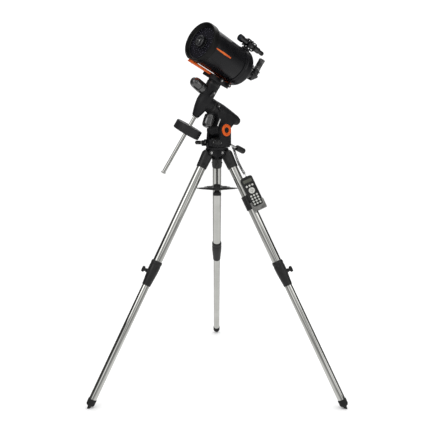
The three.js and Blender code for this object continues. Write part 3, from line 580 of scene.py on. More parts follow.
def leg_tubes(side):
    upper = pipe(UPPER_RADIUS - 1.5, UPPER_RADIUS, -UPPER_BOTTOM, -18.3, 128, 0.4)
    lower = pipe(LOWER_RADIUS - 1.5, LOWER_RADIUS, -FOOT_TOP - 23.7, -LOWER_TOP, 128, 0.4)
    build(f"{side}_upper_tube_drawn", f"{side}_leg", STEEL, upper, LEG[side], [f"{side}_upper_tube"])
    build(f"{side}_lower_tube_drawn", f"{side}_lower_leg", STEEL, lower, LEG[side],
          [f"{side}_lower_tube"])


def leg_clamp(side):
    knob_place = shift(0, 0, -(CLAMP_TOP + 62))
    skin = spun([
        (20.6, -CLAMP_BOTTOM), (21.6, -CLAMP_BOTTOM + 3), (21.9, -CLAMP_BOTTOM + 12),
        (24.6, -CLAMP_BOTTOM + 45), (26.9, -CLAMP_TOP - 55), (27.3, -CLAMP_TOP - 30), (27.3, -CLAMP_TOP - 26),
        (26.2, -CLAMP_TOP - 24), (26.2, -CLAMP_TOP - 18), (27.5, -CLAMP_TOP - 16), (27.5, -CLAMP_TOP - 6),
        (25.7, -CLAMP_TOP),
    ], 96, 1.4)
    boss = spun([(10, 12), (10, 33), (8.6, 35.6)], 48, 1, knob_place @ ALONG_X)
    body = cut(
        cast(1.0, 2, skin, boss),
        rod(UPPER_RADIUS + 0.25, -UPPER_BOTTOM - 0.3, -CLAMP_TOP + 5, 96),
        rod(LOWER_RADIUS + 0.25, -CLAMP_BOTTOM - 5, -CLAMP_TOP + 5, 96),
    )
    build(f"{side}_clamp_moulding", f"{side}_leg", MOULDED, body, LEG[side], [f"{side}_leg_clamp"])
    hub = spun([(8, 36.4), (8, 44), (7, 48.3)], 48, 1, ALONG_X)
    wing = side_plate(rounded(14, 30, 6.9, 51.3, 0), -4.4, 4.4, 1.6)
    knob = cast(0.7, 3, hub, wing)
    build(f"{side}_clamp_wing", f"{side}_leg_lock", MOULDED, knob, LEG[side] @ knob_place,
          [f"{side}_clamp_knob"])


def foot(side):
    skin = spun([
        (6.5, -LEG_LENGTH - 12), (6.9, -LEG_LENGTH + 4), (9, -LEG_LENGTH + 10), (17.5, -LEG_LENGTH + 15),
        (20.6, -LEG_LENGTH + 22), (20.2, -FOOT_TOP - 14), (20.9, -FOOT_TOP - 11), (20.9, -FOOT_TOP - 4),
        (20, -FOOT_TOP),
    ], 96, 1.2)
    floor = block((-80, 80), (-80, 80), (-60, 0), 0, shift(0, 0, -LEG_LENGTH) @ turn("Y", SPLAY))
    body = cut(skin, floor, rod(LOWER_RADIUS + 0.25, -FOOT_TOP - 24, -FOOT_TOP + 5, 96))
    build(f"{side}_foot_rubber", f"{side}_lower_leg", RUBBER, body, LEG[side], [f"{side}_foot"])


# ---------------------------------------------------------------- hand control and its cord
CONTROL_LENGTH, CONTROL_WIDTH, CONTROL_DEPTH = 172, 62, 24


def hand_control():
    outline = []
    for cx, cy, start in ((1, 1, 0), (-1, 1, 90), (-1, -1, 180), (1, -1, 270)):
        reach = 11 if cy > 0 else 8
        corner = (cx * (CONTROL_WIDTH / 2 - reach), cy * (CONTROL_LENGTH / 2 - reach))
        outline += arc(*corner, reach, start, start + 90, 10)
    shell = side_plate(outline, -CONTROL_DEPTH, 0, 3.2)
    pocket = side_plate(rounded(46.6, 113.6, 5, 0, -9), -3.7, 5, 0)
    window = side_plate(rounded(46, 17, 2, 0, 63.5), -1.6, 5, 0)
    seam = cut(side_plate(rounded(70, 190, 8), -12.6, -11.8), side_plate(rounded(60.8, 170.8, 9), -14, -10))
    body = cut(shell, pocket, window, seam)
    build("control_shell", "hand_control", MOULDED, body, CONTROL, ["hand_control"])
    glass = side_plate(rounded(45.4, 16.4, 1.8, 0, 63.5), -1.6, -0.9, 0.2)
    build("control_display", "hand_control", SCREEN, glass, CONTROL)
    collar = spun([(7, 85.6), (6.4, 88), (5.2, 88.3)], 48, 0.3)
    build("control_cord_collar", "hand_control", RUBBER, collar, CONTROL @ shift(-4, -12, 0))


def keypad():
    base = side_plate(rounded(44.6, 111.6, 4.5, 0, -9), -2.6, -1.1, 0.3)
    build("keypad_mat", "keypad", MOULDED, base, CONTROL, ["control_keypad"])
    keys = []
    for row in (38, -14, -28, -42, -56):
        for column in (-15, 0, 15):
            key = turned([(0, -1.2), (5.2, -1.2), (5.1, 0.6), (3.8, 1.5), (0, 1.75)], 32, 0.4)
            key.transform(shift(column, 0, row) @ ALONG_Y)
            keys.append(key)
    ring = pipe(6.4, 15.2, -1.2, 1.5, 64, 0.7, shift(0, 0, 12) @ ALONG_Y)
    pad = turned([(0, -1.2), (4.9, -1.2), (4.8, 0.7), (0, 1.3)], 40, 0.4, shift(0, 0, 12) @ ALONG_Y)
    build("keypad_keys", "keypad", KEYS, merged(*keys, ring, pad), CONTROL)
    arrows = []
    for quarter in range(4):
        tip = arc(0, 0, 1.9, 90, 330, 2)
        arrows.append(side_plate(tip, 1.45, 1.7, 0, shift(0, 0, 12) @ turn("Y", 90 * quarter) @ shift(0, 0, 11)))
    build("keypad_arrows", "keypad", MOULDED, merged(*arrows), CONTROL)


def control_holder():
    middle_x, front, height = CONTROL_SPOT
    low = height - CONTROL_LENGTH / 2
    reach = CONTROL_WIDTH / 2

    def leg_bore():
        return rod(UPPER_RADIUS + 0.8, low - 20, low + 110, 96)

    def well():
        """The hand control's space, with 0.3 mm to spare."""
        x = (middle_x - reach - 0.3, middle_x + reach + 0.3)
        return block(x, (front - CONTROL_DEPTH - 0.3, front + 0.3), (low - 0.3, low + 100))

    grip = rod(UPPER_RADIUS + 5.8, low + 17, low + 91, 96, 1.5)
    ribs = []
    for index in range(9):
        z = low + 22 + index * 8
        ribs.append(pipe(UPPER_RADIUS + 3, UPPER_RADIUS + 6.9, z, z + 3.4, 96, 1))
    neck = block((-30, -10), (10, front - CONTROL_DEPTH), (low + 17, low + 44), 2)
    mouth = block((-8, 60), (-60, 8), (low - 20, low + 110))
    body = cut(merged(grip, *ribs), leg_bore(), mouth, well())
    build("holder_grip", "right_leg", MOULDED, body, HOLDER, ["control_holder"])
    build("holder_neck", "right_leg", MOULDED, cut(neck, leg_bore()), HOLDER)
    cup = block((middle_x - reach - 4, middle_x + reach + 4), (front - 28, front + 4), (low - 4, low + 44), 3)
    face = side_plate(rounded(50, 50, 8, middle_x, low + 43), front - 2, front + 10)
    slot = block((middle_x - 9, middle_x + 9), (front - 21, front - 3), (low - 10, low + 10))
    cup = cut(cup, well(), face, slot, leg_bore())
    build("holder_cup", "right_leg", SMOKE, cup, HOLDER)


CORD_ROUTE = [
    (68, 0, 1229.5), (72.5, 0, 1229.4), (77.5, -3, 1226), (83, -10, 1217), (88, -20, 1203), (93, -31, 1186),
    (99, -42, 1168), (105, -53, 1151), (112, -64, 1136), (119, -75, 1122), (126, -84.5, 1109.5),
    (132.5, -91.5, 1099), (138, -95.6, 1090),
]


def along_route(points, step):
    """Points a fixed step apart on a smooth curve through the given ones."""
    padded = [points[0] * 2 - points[1]] + points + [points[-1] * 2 - points[-2]]
    fine = []
    for a, b, c, d in zip(padded, padded[1:], padded[2:], padded[3:]):
        for index in range(40):
            t = index / 40
            fine.append(0.5 * ((2 * b) + (c - a) * t + (2 * a - 5 * b + 4 * c - d) * t * t
                               + (3 * b - a - 3 * c + d) * t ** 3))
    fine.append(points[-1])
    out, left = [fine[0]], step
    for before, after in zip(fine, fine[1:]):
        length = (after - before).length
        while left <= length:
            out.append(before.lerp(after, left / length))
            before, length, left = out[-1], length - left, step
        left -= length
    return out


def ease(value):
    """Rises smoothly from 0 to 1 as value does, and stays there."""
    value = min(1.0, max(0.0, value))
    return value * value * (3 - 2 * value)


def curly_cord():
    """The cord wound in turns round its route; at both ends the turns open out into a straight end."""
    wire, coil, pitch, step = 0.9, 5.3, 3.3, 0.2
    straight, opening, first_turns = 2, 12, 14
    end = (CONTROL @ shift(-4, -12, CONTROL_LENGTH / 2 + 2.4)).translation
    spine = along_route([TRIPOD @ Vector(point) for point in CORD_ROUTE] + [end], step)
    side = Vector((0, 1, 0))
    points, angle = [], 0.0
    for index, place in enumerate(spine):
        ahead = spine[min(index + 1, len(spine) - 1)] - spine[max(index - 1, 0)]
        ahead.normalize()
        side = (side - ahead * side.dot(ahead)).normalized()
        across = ahead.cross(side)
        from_end = min(index, len(spine) - 1 - index) * step - straight
        reach = coil * ease(from_end / opening)
        angle += 2 * pi * step / pitch * ease((from_end - 2 * straight) / first_turns)
        points.append(place + side * reach * cos(angle) + across * reach * sin(angle))
    curve = bpy.data.curves.new("cord_line", "CURVE")
    curve.dimensions = "3D"
    curve.bevel_depth = wire * METRES
    curve.bevel_resolution = 3
    curve.use_fill_caps = True
    spline = curve.splines.new("POLY")
    spline.points.add(len(points) - 1)
    for item, point in zip(spline.points, points):
        item.co = (*(point * METRES), 1)
    line = in_scene("cord_line", curve)
    mesh = bpy.data.meshes.new_from_object(line.evaluated_get(bpy.context.evaluated_depsgraph_get()))
    bpy.data.objects.remove(line)
    mesh.materials.clear()
    mesh.materials.append(JACKET)
    for face in mesh.polygons:
        face.use_smooth = True
    made = in_scene("hand_control_curly_cord", mesh)
    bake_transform(made)
    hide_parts("hand_control_cord")


# ---------------------------------------------------------------- azimuth base
SCREW_HEIGHT = 25
LATITUDE_SCREW = shift(-60, 0, 27) @ turn("Y", -21)


def azimuth_base():
    cheek = [(-47, 10), (28, 10), (22, 74)] + arc(PIVOT[0], PIVOT[2], 34.5, -20, 180, 24)
    parts = [rod(56, 0.4, 14, 96, 1.2), block((-50, 56), (-40, 40), (8, 42), 4)]
    for low in (-56, 39):
        parts.append(side_plate(cheek, low, low + 17, 3))
    for low in (-38, 22):
        parts.append(block((40, PEG_REACH + 12), (low, low + 16), (8, SCREW_HEIGHT + 12), 4))
    boss_place = shift(-54, 0, 29) @ turn("Y", -21) @ ALONG_X
    boss = spun([(13, -12), (13, 5), (11.5, 8)], 48, 1, boss_place)
    port_place = turn("Z", -NORTH) @ shift(0, 0, 7.5) @ ALONG_X
    port = spun([(6.5, 45), (6.5, 65.6)], 48, 0.8, port_place)
    body = cut(
        cast(1.4, 3, *parts, boss, port),
        block((PEG_REACH - 14, PEG_REACH + 30), (-22, 22), (-5, 60)),
        rod(4.4, -80, 80, 40, 0, shift(PEG_REACH, 0, SCREW_HEIGHT) @ ALONG_Y),
        rod(5.4, -60, 60, 40, 0, LATITUDE_SCREW @ ALONG_X),
        rod(10.6, -80, 80, 64, 0, shift(*PIVOT) @ ALONG_Y),
        rod(12, -5, 60, 48),
    )
    build("azimuth_base_casting", "mount_base", PAINT, body, MOUNT, ["azimuth_base"])
    build("turntable_band", "mount_base", MOULDED, pipe(54.5, 56.4, 6.2, 7.6, 128, 0.3), MOUNT)
    bubble_place = MOUNT @ shift(30, 0, 42)
    cup = pipe(6.2, 8.6, -1, 2.6, 48, 0.6)
    build("level_bubble_cup", "mount_base", MOULDED, cup, bubble_place)
    dome = turned([(0, -0.5), (6.3, -0.5), (6.1, 1.4), (3.2, 2.3), (0, 2.5)], 48, 0.3)
    build("level_bubble_window", "mount_base", LENS, dome, bubble_place)
    for end, x, metal in (("s", -36, SHINY), ("n", 24, BOLT)):
        for side, y, flip in (("a", 56, 0), ("b", -56, 180)):
            place = MOUNT @ shift(x, y, 24) @ turn("Z", flip) @ ALONG_Y
            socket_screw(f"cheek_screw_{end}{side}", "mount_base", place, 4.2, metal)


def azimuth_knob(name, flip):
    shaft = spun([(3.2, 16.6), (3.9, 18), (3.9, 57)], 40, 0.3)
    grip = plate(scalloped(11, 6, 0.07), 58, 90, 1.5)
    collar = spun([(7, 55.4), (8.5, 59)], 48, 0.6)
    place = MOUNT @ shift(PEG_REACH, 0, SCREW_HEIGHT) @ turn("X", flip) @ ALONG_Y
    knob("azimuth_{}_" + name, f"azimuth_screw_{name}", place, shaft, grip, collar, f"azimuth_knob_{name}")


def latitude_cap(name, flip):
    place = MOUNT @ shift(*PIVOT) @ turn("X", flip) @ ALONG_Y @ shift(0, 0, 56)
    ring = hollow([
        (14.5, 0.3), (30, 0.3), (30, 3.8), (29.2, 4.7), (26.2, 6.4), (17.5, 6.4), (14.5, 4.4),
    ], 128, 0.5)
    groove = cut(ring, pipe(28.1, 28.7, 4.0, 9, 128))
    build(f"latitude_ring_{name}", "mount_base", ORANGE, groove, place, [f"latitude_cap_{name}"])
    core = spun([(10, -3), (10, -1.5), (14, 0.4), (14.4, 0.4), (14.4, 3.2), (12.5, 3.4), (9, 1.2)], 96, 0.3)
    build(f"latitude_core_{name}", "mount_base", FLAT_BLACK, core, place)
    screw = spun([(4.5, 1.0), (4.5, 2.6)], 40, 0.5)
    build(f"latitude_core_screw_{name}", "mount_base", SHINY, screw, place)


def latitude_handle():
    place = MOUNT @ LATITUDE_SCREW @ turn("Y", 180) @ ALONG_X
    profile = [(0, -12), (4.2, -12), (4.9, -11)]
    for row in range(10):
        profile += [(4.9, 12 + row * 1.6), (4.4, 12.8 + row * 1.6)]
    profile += [(4.9, 30), (4.9, 79), (0, 79)]
    build("latitude_shaft", "latitude_screw", BOLT, turned(profile, 48), place)
    grip = turned([
        (0, 78.2), (10, 78.2), (13, 80), (15.2, 84), (15.4, 88), (15.4, 130), (14.6, 135), (11.5, 139.4),
        (0, 139.8),
    ], 128, 1.5)
    flutes = ridges(12, 16.2, 1.7, 86, 133, 20, 1.2)
    build("latitude_grip", "latitude_screw", MOULDED, cut(grip, *flutes), place,
          ["latitude_handle"], 50)


# ---------------------------------------------------------------- polar axis
MOTOR_NORTH = 81
DEC_MOTOR = shift(0, 0, 47) @ turn("Y", -8) @ ALONG_X


def polar_housing():
    axis = shift(0, 0, POLAR_RISE)
    barrel = spun([
        (22, -94.6), (25, -89), (30, -50), (34, -12), (37, 24), (37.8, 30), (37.8, 60), (37.3, 101),
    ], 128, 3, axis @ ALONG_X)
    web = [(-35, 8)] + arc(0, 0, 36, 167, 330, 24)
    web += [(47, 0), (50, 44), (66, POLAR_RISE - 30), (60, POLAR_RISE), (-50, POLAR_RISE), (-62, POLAR_RISE - 22)]
    pivot = rod(9.4, -55, 55, 64, 1, ALONG_Y)
    seat = rod(19.3, 46.2, POLAR_RISE, 96, 1.5, shift(MOTOR_NORTH, 0, 0))
    body = cut(
        cast(1.4, 4, barrel, side_plate(web, -35.6, 35.6, 4), seat),
        rod(30, -20, 106, 96, 0, axis @ ALONG_X),
        rod(13.5, -130, 0, 64, 0, axis @ ALONG_X),
    )
    build("ra_housing_casting", "polar_head", PAINT, body, POLAR, ["ra_housing"])
    build("latitude_pivot_pin", "polar_head", BOLT, pivot, POLAR)
    collar = hollow([(37.2, 88), (38.6, 88), (38.6, 99), (37.2, 99)], 128, 0.4)
    build("ra_collar", "polar_head", MOULDED, collar, POLAR_AXIS @ ALONG_X)
    strip = side_plate([(-2.6, -19), (2.6, -19), (2.6, 19), (-2.6, 19)], 35.2, 36.2, 0.3)
    strip_place = POLAR @ shift(42, 0, 24) @ turn("Y", -5)
    build("latitude_scale", "polar_head", WHITE, strip, strip_place)
    marks = []
    for index in range(13):
        width = 4.2 if index % 4 == 0 else 2.6
        z = -17.6 + index * 2.9
        marks.append(side_plate([(-2.1, z), (-2.1 + width, z), (-2.1 + width, z + 0.5), (-2.1, z + 0.5)], 36.1, 36.3))
    build("latitude_scale_marks", "polar_head", FLAT_BLACK, merged(*marks), strip_place)
    for x in (20, 40):
        place = POLAR_AXIS @ shift(x, -37.2, -4) @ turn("Z", 180) @ ALONG_Y
        socket_screw(f"ra_worm_screw_{x}", "polar_head", place, 3.2)


def motor_covers():
    cover = spun([
        (10, -17.6), (18, -15.6), (24.5, -11), (27.2, -3), (27.7, 8), (27.8, 26), (27.1, 27), (27.1, 29),
        (27.8, 30), (26.8, 45.7),
    ], 128, 1.5)
    place = POLAR @ shift(MOTOR_NORTH, 0, 0)
    build("ra_motor_shell", "polar_head", LACQUER, cover, place, ["ra_motor_cover"])
    cap = spun([
        (11, -109.6), (16.4, -107.6), (20, -103), (21.3, -98), (21.3, -95.3), (13, -95.3), (13, -88),
    ], 96, 1)
    build("polar_cap_moulding", "polar_head", MOULDED, cap, POLAR_AXIS @ ALONG_X, ["polar_cap"])
    shell = turned([
        (0, 42.3), (26, 42.3), (27.6, 46), (27.9, 52), (27.9, 65), (26.6, 67), (26.6, 71), (27.8, 73),
        (27.3, 88), (25.6, 103), (21.5, 112.5), (15.5, 118), (9, 120.6), (0, 121),
    ], 128, 1.5)
    place = CROSSING @ DEC_MOTOR
    build("dec_motor_shell", "declination_head", LACQUER, shell, place, ["dec_motor_cover"])
    band = pipe(26.4, 27.5, 67.8, 70.2, 128, 0.4)
    build("dec_motor_band", "declination_head", SHINY, band, place)


def worm_and_shaft():
    """The right ascension worm wheel, four outline points to a tooth, and the hollow shaft it is on."""
    outline = []
    teeth = 72
    for step in range(teeth * 4):
        angle = 2 * pi * step / (teeth * 4)
        reach = 28.4 if step % 4 < 2 else 27.1
        outline.append((reach * cos(angle), reach * sin(angle)))
    wheel = cut(plate(outline, 30, 42, 0), rod(14.3, 25, 50, 64))
    build("ra_worm_wheel_cut", "declination_head", BRASS, wheel, POLAR_AXIS @ ALONG_X, ["ra_worm_wheel"])
    shaft = hollow([
        (10, -12), (13.9, -12), (13.9, 89), (28.3, 89), (28.3, 101.3), (34.8, 101.3), (34.8, 106), (10, 106),
    ], 128, 0.4)
    build("ra_shaft_turned", "declination_head", STEEL, shaft, POLAR_AXIS @ ALONG_X, ["ra_shaft"])
    ring = pipe(34.9, 35.8, 101.4, 106, 128, 0.2)
    build("ra_shaft_ring", "declination_head", PAINT, ring, POLAR_AXIS @ ALONG_X)


def clutch(name, body, place, length, node):
    outline = arc(0, 0, 8.8, 40, 320, 20)
    outline += [(length - 5, -3.8)] + arc(length - 5, 0, 4.9, -60, 60, 10) + [(length - 5, 3.8)]
    lever = cast(0.7, 3, side_plate(outline, 0.3, 8.8, 1.6))
    build(f"{name}_moulding", body, SHINY, lever, place, [node])
    socket_screw(f"{name}_screw", body, place @ shift(0, 8.6, 0) @ ALONG_Y, 4.4)


# ---------------------------------------------------------------- declination axis
DOVETAIL_TOP, DOVETAIL_BOTTOM = -90.9, -103
SADDLE_LOW = TUBE_RISE + DOVETAIL_BOTTOM - 14
HOUSING_TOP = SADDLE_LOW - 8
SCREW_RISE = TUBE_RISE + DOVETAIL_BOTTOM + 4.5
SADDLE_KNOBS = {"front": 12, "rear": -44}


def declination_housing():
    column = spun([
        (12, -83.6), (18.5, -79), (23.6, -62), (29.5, -42), (34.6, -14), (36.6, 0), (35.6, 24), (34.6, 40),
        (33.6, HOUSING_TOP - 0.4),
    ], 128, 4)
    neck = rod(35.7, -38.4, 0, 128, 1.2, ALONG_X)
    seat = rod(25.7, 16, 41.8, 96, 1, DEC_MOTOR)
    body = cut(
        cast(1.3, 4, column, neck, seat),
        rod(20, -60, HOUSING_TOP + 5, 96),
        rod(11, -95, -50, 64),
    )
    build("dec_housing_casting", "declination_head", PAINT, body, CROSSING, ["dec_housing"])
    setting = hollow([
        (33.4, HOUSING_TOP - 12), (34.9, HOUSING_TOP - 12), (34.9, HOUSING_TOP - 0.6),
        (33.4, HOUSING_TOP - 0.6),
    ], 128, 0.4)
    build("dec_setting_band", "declination_head", MOULDED, setting, CROSSING)
    ring = pipe(10.9, 15.5, -86.4, -83.2, 96, 0.8)
    build("dec_lower_bush", "declination_head", STEEL, ring, CROSSING)


def saddle():
    floor = TUBE_RISE + DOVETAIL_BOTTOM - 0.3
    tray = plate(rounded(128, 78, 8), SADDLE_LOW, floor + 10.5, 2.2)
    channel = side_plate([(-80, floor), (80, floor), (80, floor + 20), (-80, floor + 20)], -23.5, 23.5)
    flange = rod(33.8, HOUSING_TOP + 0.4, SADDLE_LOW + 1, 128, 1)
    bores = [rod(3.9, 10, 60, 32, 0, shift(x, 0, SCREW_RISE) @ ALONG_Y) for x in SADDLE_KNOBS.values()]
    wells = [rod(6, SADDLE_LOW - 4, SADDLE_LOW + 3, 40, 0, shift(x, y, 0)) for x in (-50, 50) for y in (-28, 28)]
    body = cut(merged(tray), channel, *bores, *wells)
    build("saddle_casting", "declination_shaft", PAINT, body, DECLINATION, ["saddle"])
    stem = cut(rod(18.8, -58, SADDLE_LOW, 128, 0.8), rod(9.3, -70, -20, 64))
    build("saddle_flange", "declination_shaft", PAINT, flange, DECLINATION)
    build("declination_stem", "declination_shaft", STEEL, stem, DECLINATION)
    for x in (-50, 50):
        for y in (-28, 28):
            place = DECLINATION @ shift(x, y, SADDLE_LOW + 3) @ BACK
            socket_screw(f"saddle_bolt_{'f' if x > 0 else 'r'}{'a' if y > 0 else 'b'}", "declination_shaft", place, 4)


def saddle_knob(name):
    place = DECLINATION @ shift(SADDLE_KNOBS[name], 0, SCREW_RISE) @ ALONG_Y
    body = f"saddle_screw_{name}"
    shaft = spun([(2.6, 23.2), (3.4, 24.2), (3.4, 42)], 32, 0.3)
    grip = plate(scalloped(11, 6, 0.08), 44, 59.4, 1.4)
    collar = spun([(6.4, 41.2), (8.4, 45)], 48, 0.5)
    dot = turned([(0, 59), (4.2, 59), (4.2, 59.9), (0, 60)], 40, 0.3)
    knob("saddle_{}_" + name, body, place, shaft, grip, collar, f"saddle_knob_{name}")
    build(f"saddle_dot_{name}", body, BOLT, dot, place)


def balance():
    bar = spun([(9.6, -407.8), (11.4, -406), (11.4, -400), (8.9, -399), (8.9, -20.4)], 128, 0.7)
    build("counterweight_bar_ground", "declination_shaft", STEEL, bar, DECLINATION,
          ["counterweight_bar"])
    place = DECLINATION @ shift(0, 0, -156)
    disc = hollow([
        (9.3, -22), (30, -22), (31, -20.6), (58, -20.6), (59, -22), (67, -22), (70, -19), (70, 19), (67, 22),
        (59, 22), (58, 20.6), (31, 20.6), (30, 22), (9.3, 22),
    ], 160, 1.2)
    body = cut(disc, rod(4.4, -80, -9, 40, 0, ALONG_Y))
    build("counterweight_casting", "balance_weight", IRON, body, place, ["counterweight"])
    knob_place = place @ BACK @ ALONG_Y
    shaft = spun([(3.9, 12), (3.9, 74)], 32, 0.3)
    grip = plate(scalloped(11, 5, 0.08), 72.4, 87.6, 1.4)
    collar = spun([(7, 70.5), (8, 74)], 48, 0.5)
    knob("weight_{}", "weight_screw", knob_place, shaft, grip, collar, "counterweight_knob")


# ---------------------------------------------------------------- optical tube
REAR_BACK = -112


def flat_under(start, stop):
    """Takes away a rim's lowest part, where the dovetail bar lies."""
    return block((start, stop), (-24, 24), (-130, DOVETAIL_TOP + 0.3))


def front_ring():
    ring = hollow([
        (88.2, 163), (92.6, 163), (94.9, 165.6), (94.9, 169), (94.3, 170), (94.3, 171.4), (94.9, 172.4),
        (94.9, 192), (94.2, 195.6), (92.6, 198.6), (88.4, 198.9), (86.6, 197.6), (81, 183.4), (76.2, 181.3),
        (76.2, 179.4), (79.4, 179.4), (79.4, 173), (76.2, 173), (76.2, 171.2), (88.2, 171.2),
    ], 192, 0.8, ALONG_X)
    body = cut(ring, flat_under(150, 210))
    build("front_ring_casting", "optical_tube", RING_BLACK, body, OPTICS, ["front_ring"], 45)
    screw_circle("corrector_screw", 6, 30, shift(83.4, 0, 188.2) @ turn("Y", -22), 1.7, SHINY)


def main_tube():
    tube = pipe(86.5, 88, -52, 170.6, 192, 0.3, ALONG_X)
    build("main_tube_drawn", "optical_tube", GLOSS, tube, OPTICS, ["main_tube"])
    lining = pipe(86.1, 86.45, -53, 170.8, 128, 0, ALONG_X)
    build("main_tube_lining", "optical_tube", FLAT_BLACK, lining, OPTICS)
    for side, angle in ((1, 118), (-1, -118)):
        place = OPTICS @ turn("X", angle) @ shift(166.5, 0, 94.4)
        socket_screw(f"ring_screw_{side}", "optical_tube", place, 2.4, SHINY)


def side_stripe():
    """A plain tapered stripe along the side, wrapped on the tube."""
    bm = bmesh.new()
    inner, outer = 88.0, 88.25
    start, stop, widest, middle_angle = 59, 162, 4.4, 84.5
    columns, rows = 60, 10
    square = ((0, 0), (1, 0), (1, 1), (0, 1))
    grid = {}
    for column in range(columns + 1):
        along = column / columns
        x = start + (stop - start) * along
        half = widest * (0.62 + 0.38 * sin(pi * min(1.0, along * 1.15)))
        for row in range(rows + 1):
            angle = radians(middle_angle) + (2 * row / rows - 1) * half / outer
            for level, reach in enumerate((inner, outer)):
                grid[column, row, level] = bm.verts.new((x, reach * sin(angle), reach * cos(angle)))
    for column in range(columns):
        for row in range(rows):
            for level in (0, 1):
                bm.faces.new([grid[column + a, row + b, level] for a, b in square])
    for column in range(columns):
        for row in (0, rows):
            bm.faces.new([grid[column + a, row, b] for a, b in square])
    for row in range(rows):
        for column in (0, columns):
            bm.faces.new([grid[column, row + a, b] for a, b in square])
    build("side_stripe", "optical_tube", STRIPE, bm, OPTICS)


def corrector():
    glass = hollow([(24, 173.5), (79, 173.5), (79, 178.6), (52, 178.4), (24, 178.8)], 160, 0.2, ALONG_X)
    build("corrector_lens", "optical_tube", GLASS, glass, OPTICS, ["corrector_plate"])
    cell = turned([
        (0, 158), (26.4, 158), (26.8, 159), (26.8, 173.1), (23.7, 173.1), (23.7, 179.4), (28.6, 179.4),
        (28.6, 183), (27.3, 184.5), (27.3, 198), (25.4, 201.6), (22, 202.8), (19.4, 202.8), (18.6, 201.6),
        (0, 201.2),
    ], 128, 0.8, ALONG_X)
    build("secondary_cell_moulding", "optical_tube", SHINY, cell, OPTICS, ["secondary_cell"])
    dome = turned([(0, 200.6), (6.6, 200.6), (6.4, 201.6), (3.6, 202.4), (0, 202.7)], 64, 0.2, ALONG_X)
    build("secondary_centre_cap", "optical_tube", BOLT, dome, OPTICS)
    knurl = ridges(48, 27.3, 0.75, 185.5, 197, 10, 0.4, matrix=ALONG_X)
    build("secondary_knurl", "optical_tube", MOULDED, merged(*knurl), OPTICS)
    screw_circle("collimation_screw", 3, 20, shift(12, 0, 201), 2.4)


def rear_cell():
    skin = hollow([
        (20, REAR_BACK), (60, REAR_BACK), (66, -111), (78, -105.6), (88, -95), (92.6, -86), (92.9, -80),
        (92.9, -57), (91.6, -53), (90.9, -49), (90.9, -38.2), (88.3, -38.2), (88.3, -54), (84, -54), (84, -86),
        (60, -100), (20, -100), (18, -100), (18, 60), (16, 60), (16, -108),
    ], 192, 1.6, ALONG_X)
    bore = rod(5.4, -130, -90, 40, 0, ALONG_X @ shift(-38, 26, 0))
    pad = block((-84, -50), (-14, 14), (88, 95), 1.4)
    body = cut(skin, bore, flat_under(-125, -30))
    build("rear_cell_casting", "optical_tube", GLOSS, body, OPTICS, ["rear_cell"], 45)
    build("finder_seat", "optical_tube", PAINT, pad, OPTICS)
    screw_circle("rear_screw", 6, 15, shift(54, 0, REAR_BACK) @ BACK, 2.6, SHINY)
    glass = hollow([
        (19.4, -78), (77.6, -78), (77.8, -77), (77.8, -64.6), (76.8, -63.9), (64, -66.4), (50, -68.4),
        (38, -69.8), (26.4, -70.8), (26.4, -66.2), (19.4, -66.2),
    ], 160, 0, ALONG_X)
    build("primary_mirror_ground", "mirror", MIRROR, glass, OPTICS, ["primary_mirror"], 25)


def focus_knob():
    place = OPTICS @ shift(0, 26, 38) @ ALONG_X
    shaft = spun([(4.9, -128), (4.9, -94.4)], 40, 0.4)
    grip = plate(scalloped(12.4, 16, 0.04), -141.6, -116, 1.2)
    collar = spun([(11, -116.8), (11.4, -114.2)], 64, 0.4)
    cap = spun([(9.6, -142), (9.6, -141.2)], 64, 0.3)
    knob("focus_{}", "focuser", place, shaft, grip, collar, "focus_knob", "knob_rubber", RUBBER)
    build("focus_cap", "focuser", SHINY, cap, place)


def visual_back():
    body = hollow([
        (16.3, -152), (19.4, -152), (20, -151), (20, -149.4), (23, -147.6), (23, -126), (26.8, -124.4),
        (26.8, -113.4), (24, -112.3), (16.3, -112.3),
    ], 128, 0.5, ALONG_X)
    build("visual_back_turned", "optical_tube", SHINY, body, OPTICS, ["visual_back"])
    knurl = ridges(60, 26.6, 0.55, -122.8, -114.4, 8, 0.3, matrix=ALONG_X)
    build("visual_back_knurl", "optical_tube", SHINY, merged(*knurl), OPTICS)
    screw_place = OPTICS @ shift(-138, 0, 0) @ turn("X", 60) @ shift(0, 0, 22)
    thumb_screw("visual_back_screw", "optical_tube", screw_place, 4.6, 13)


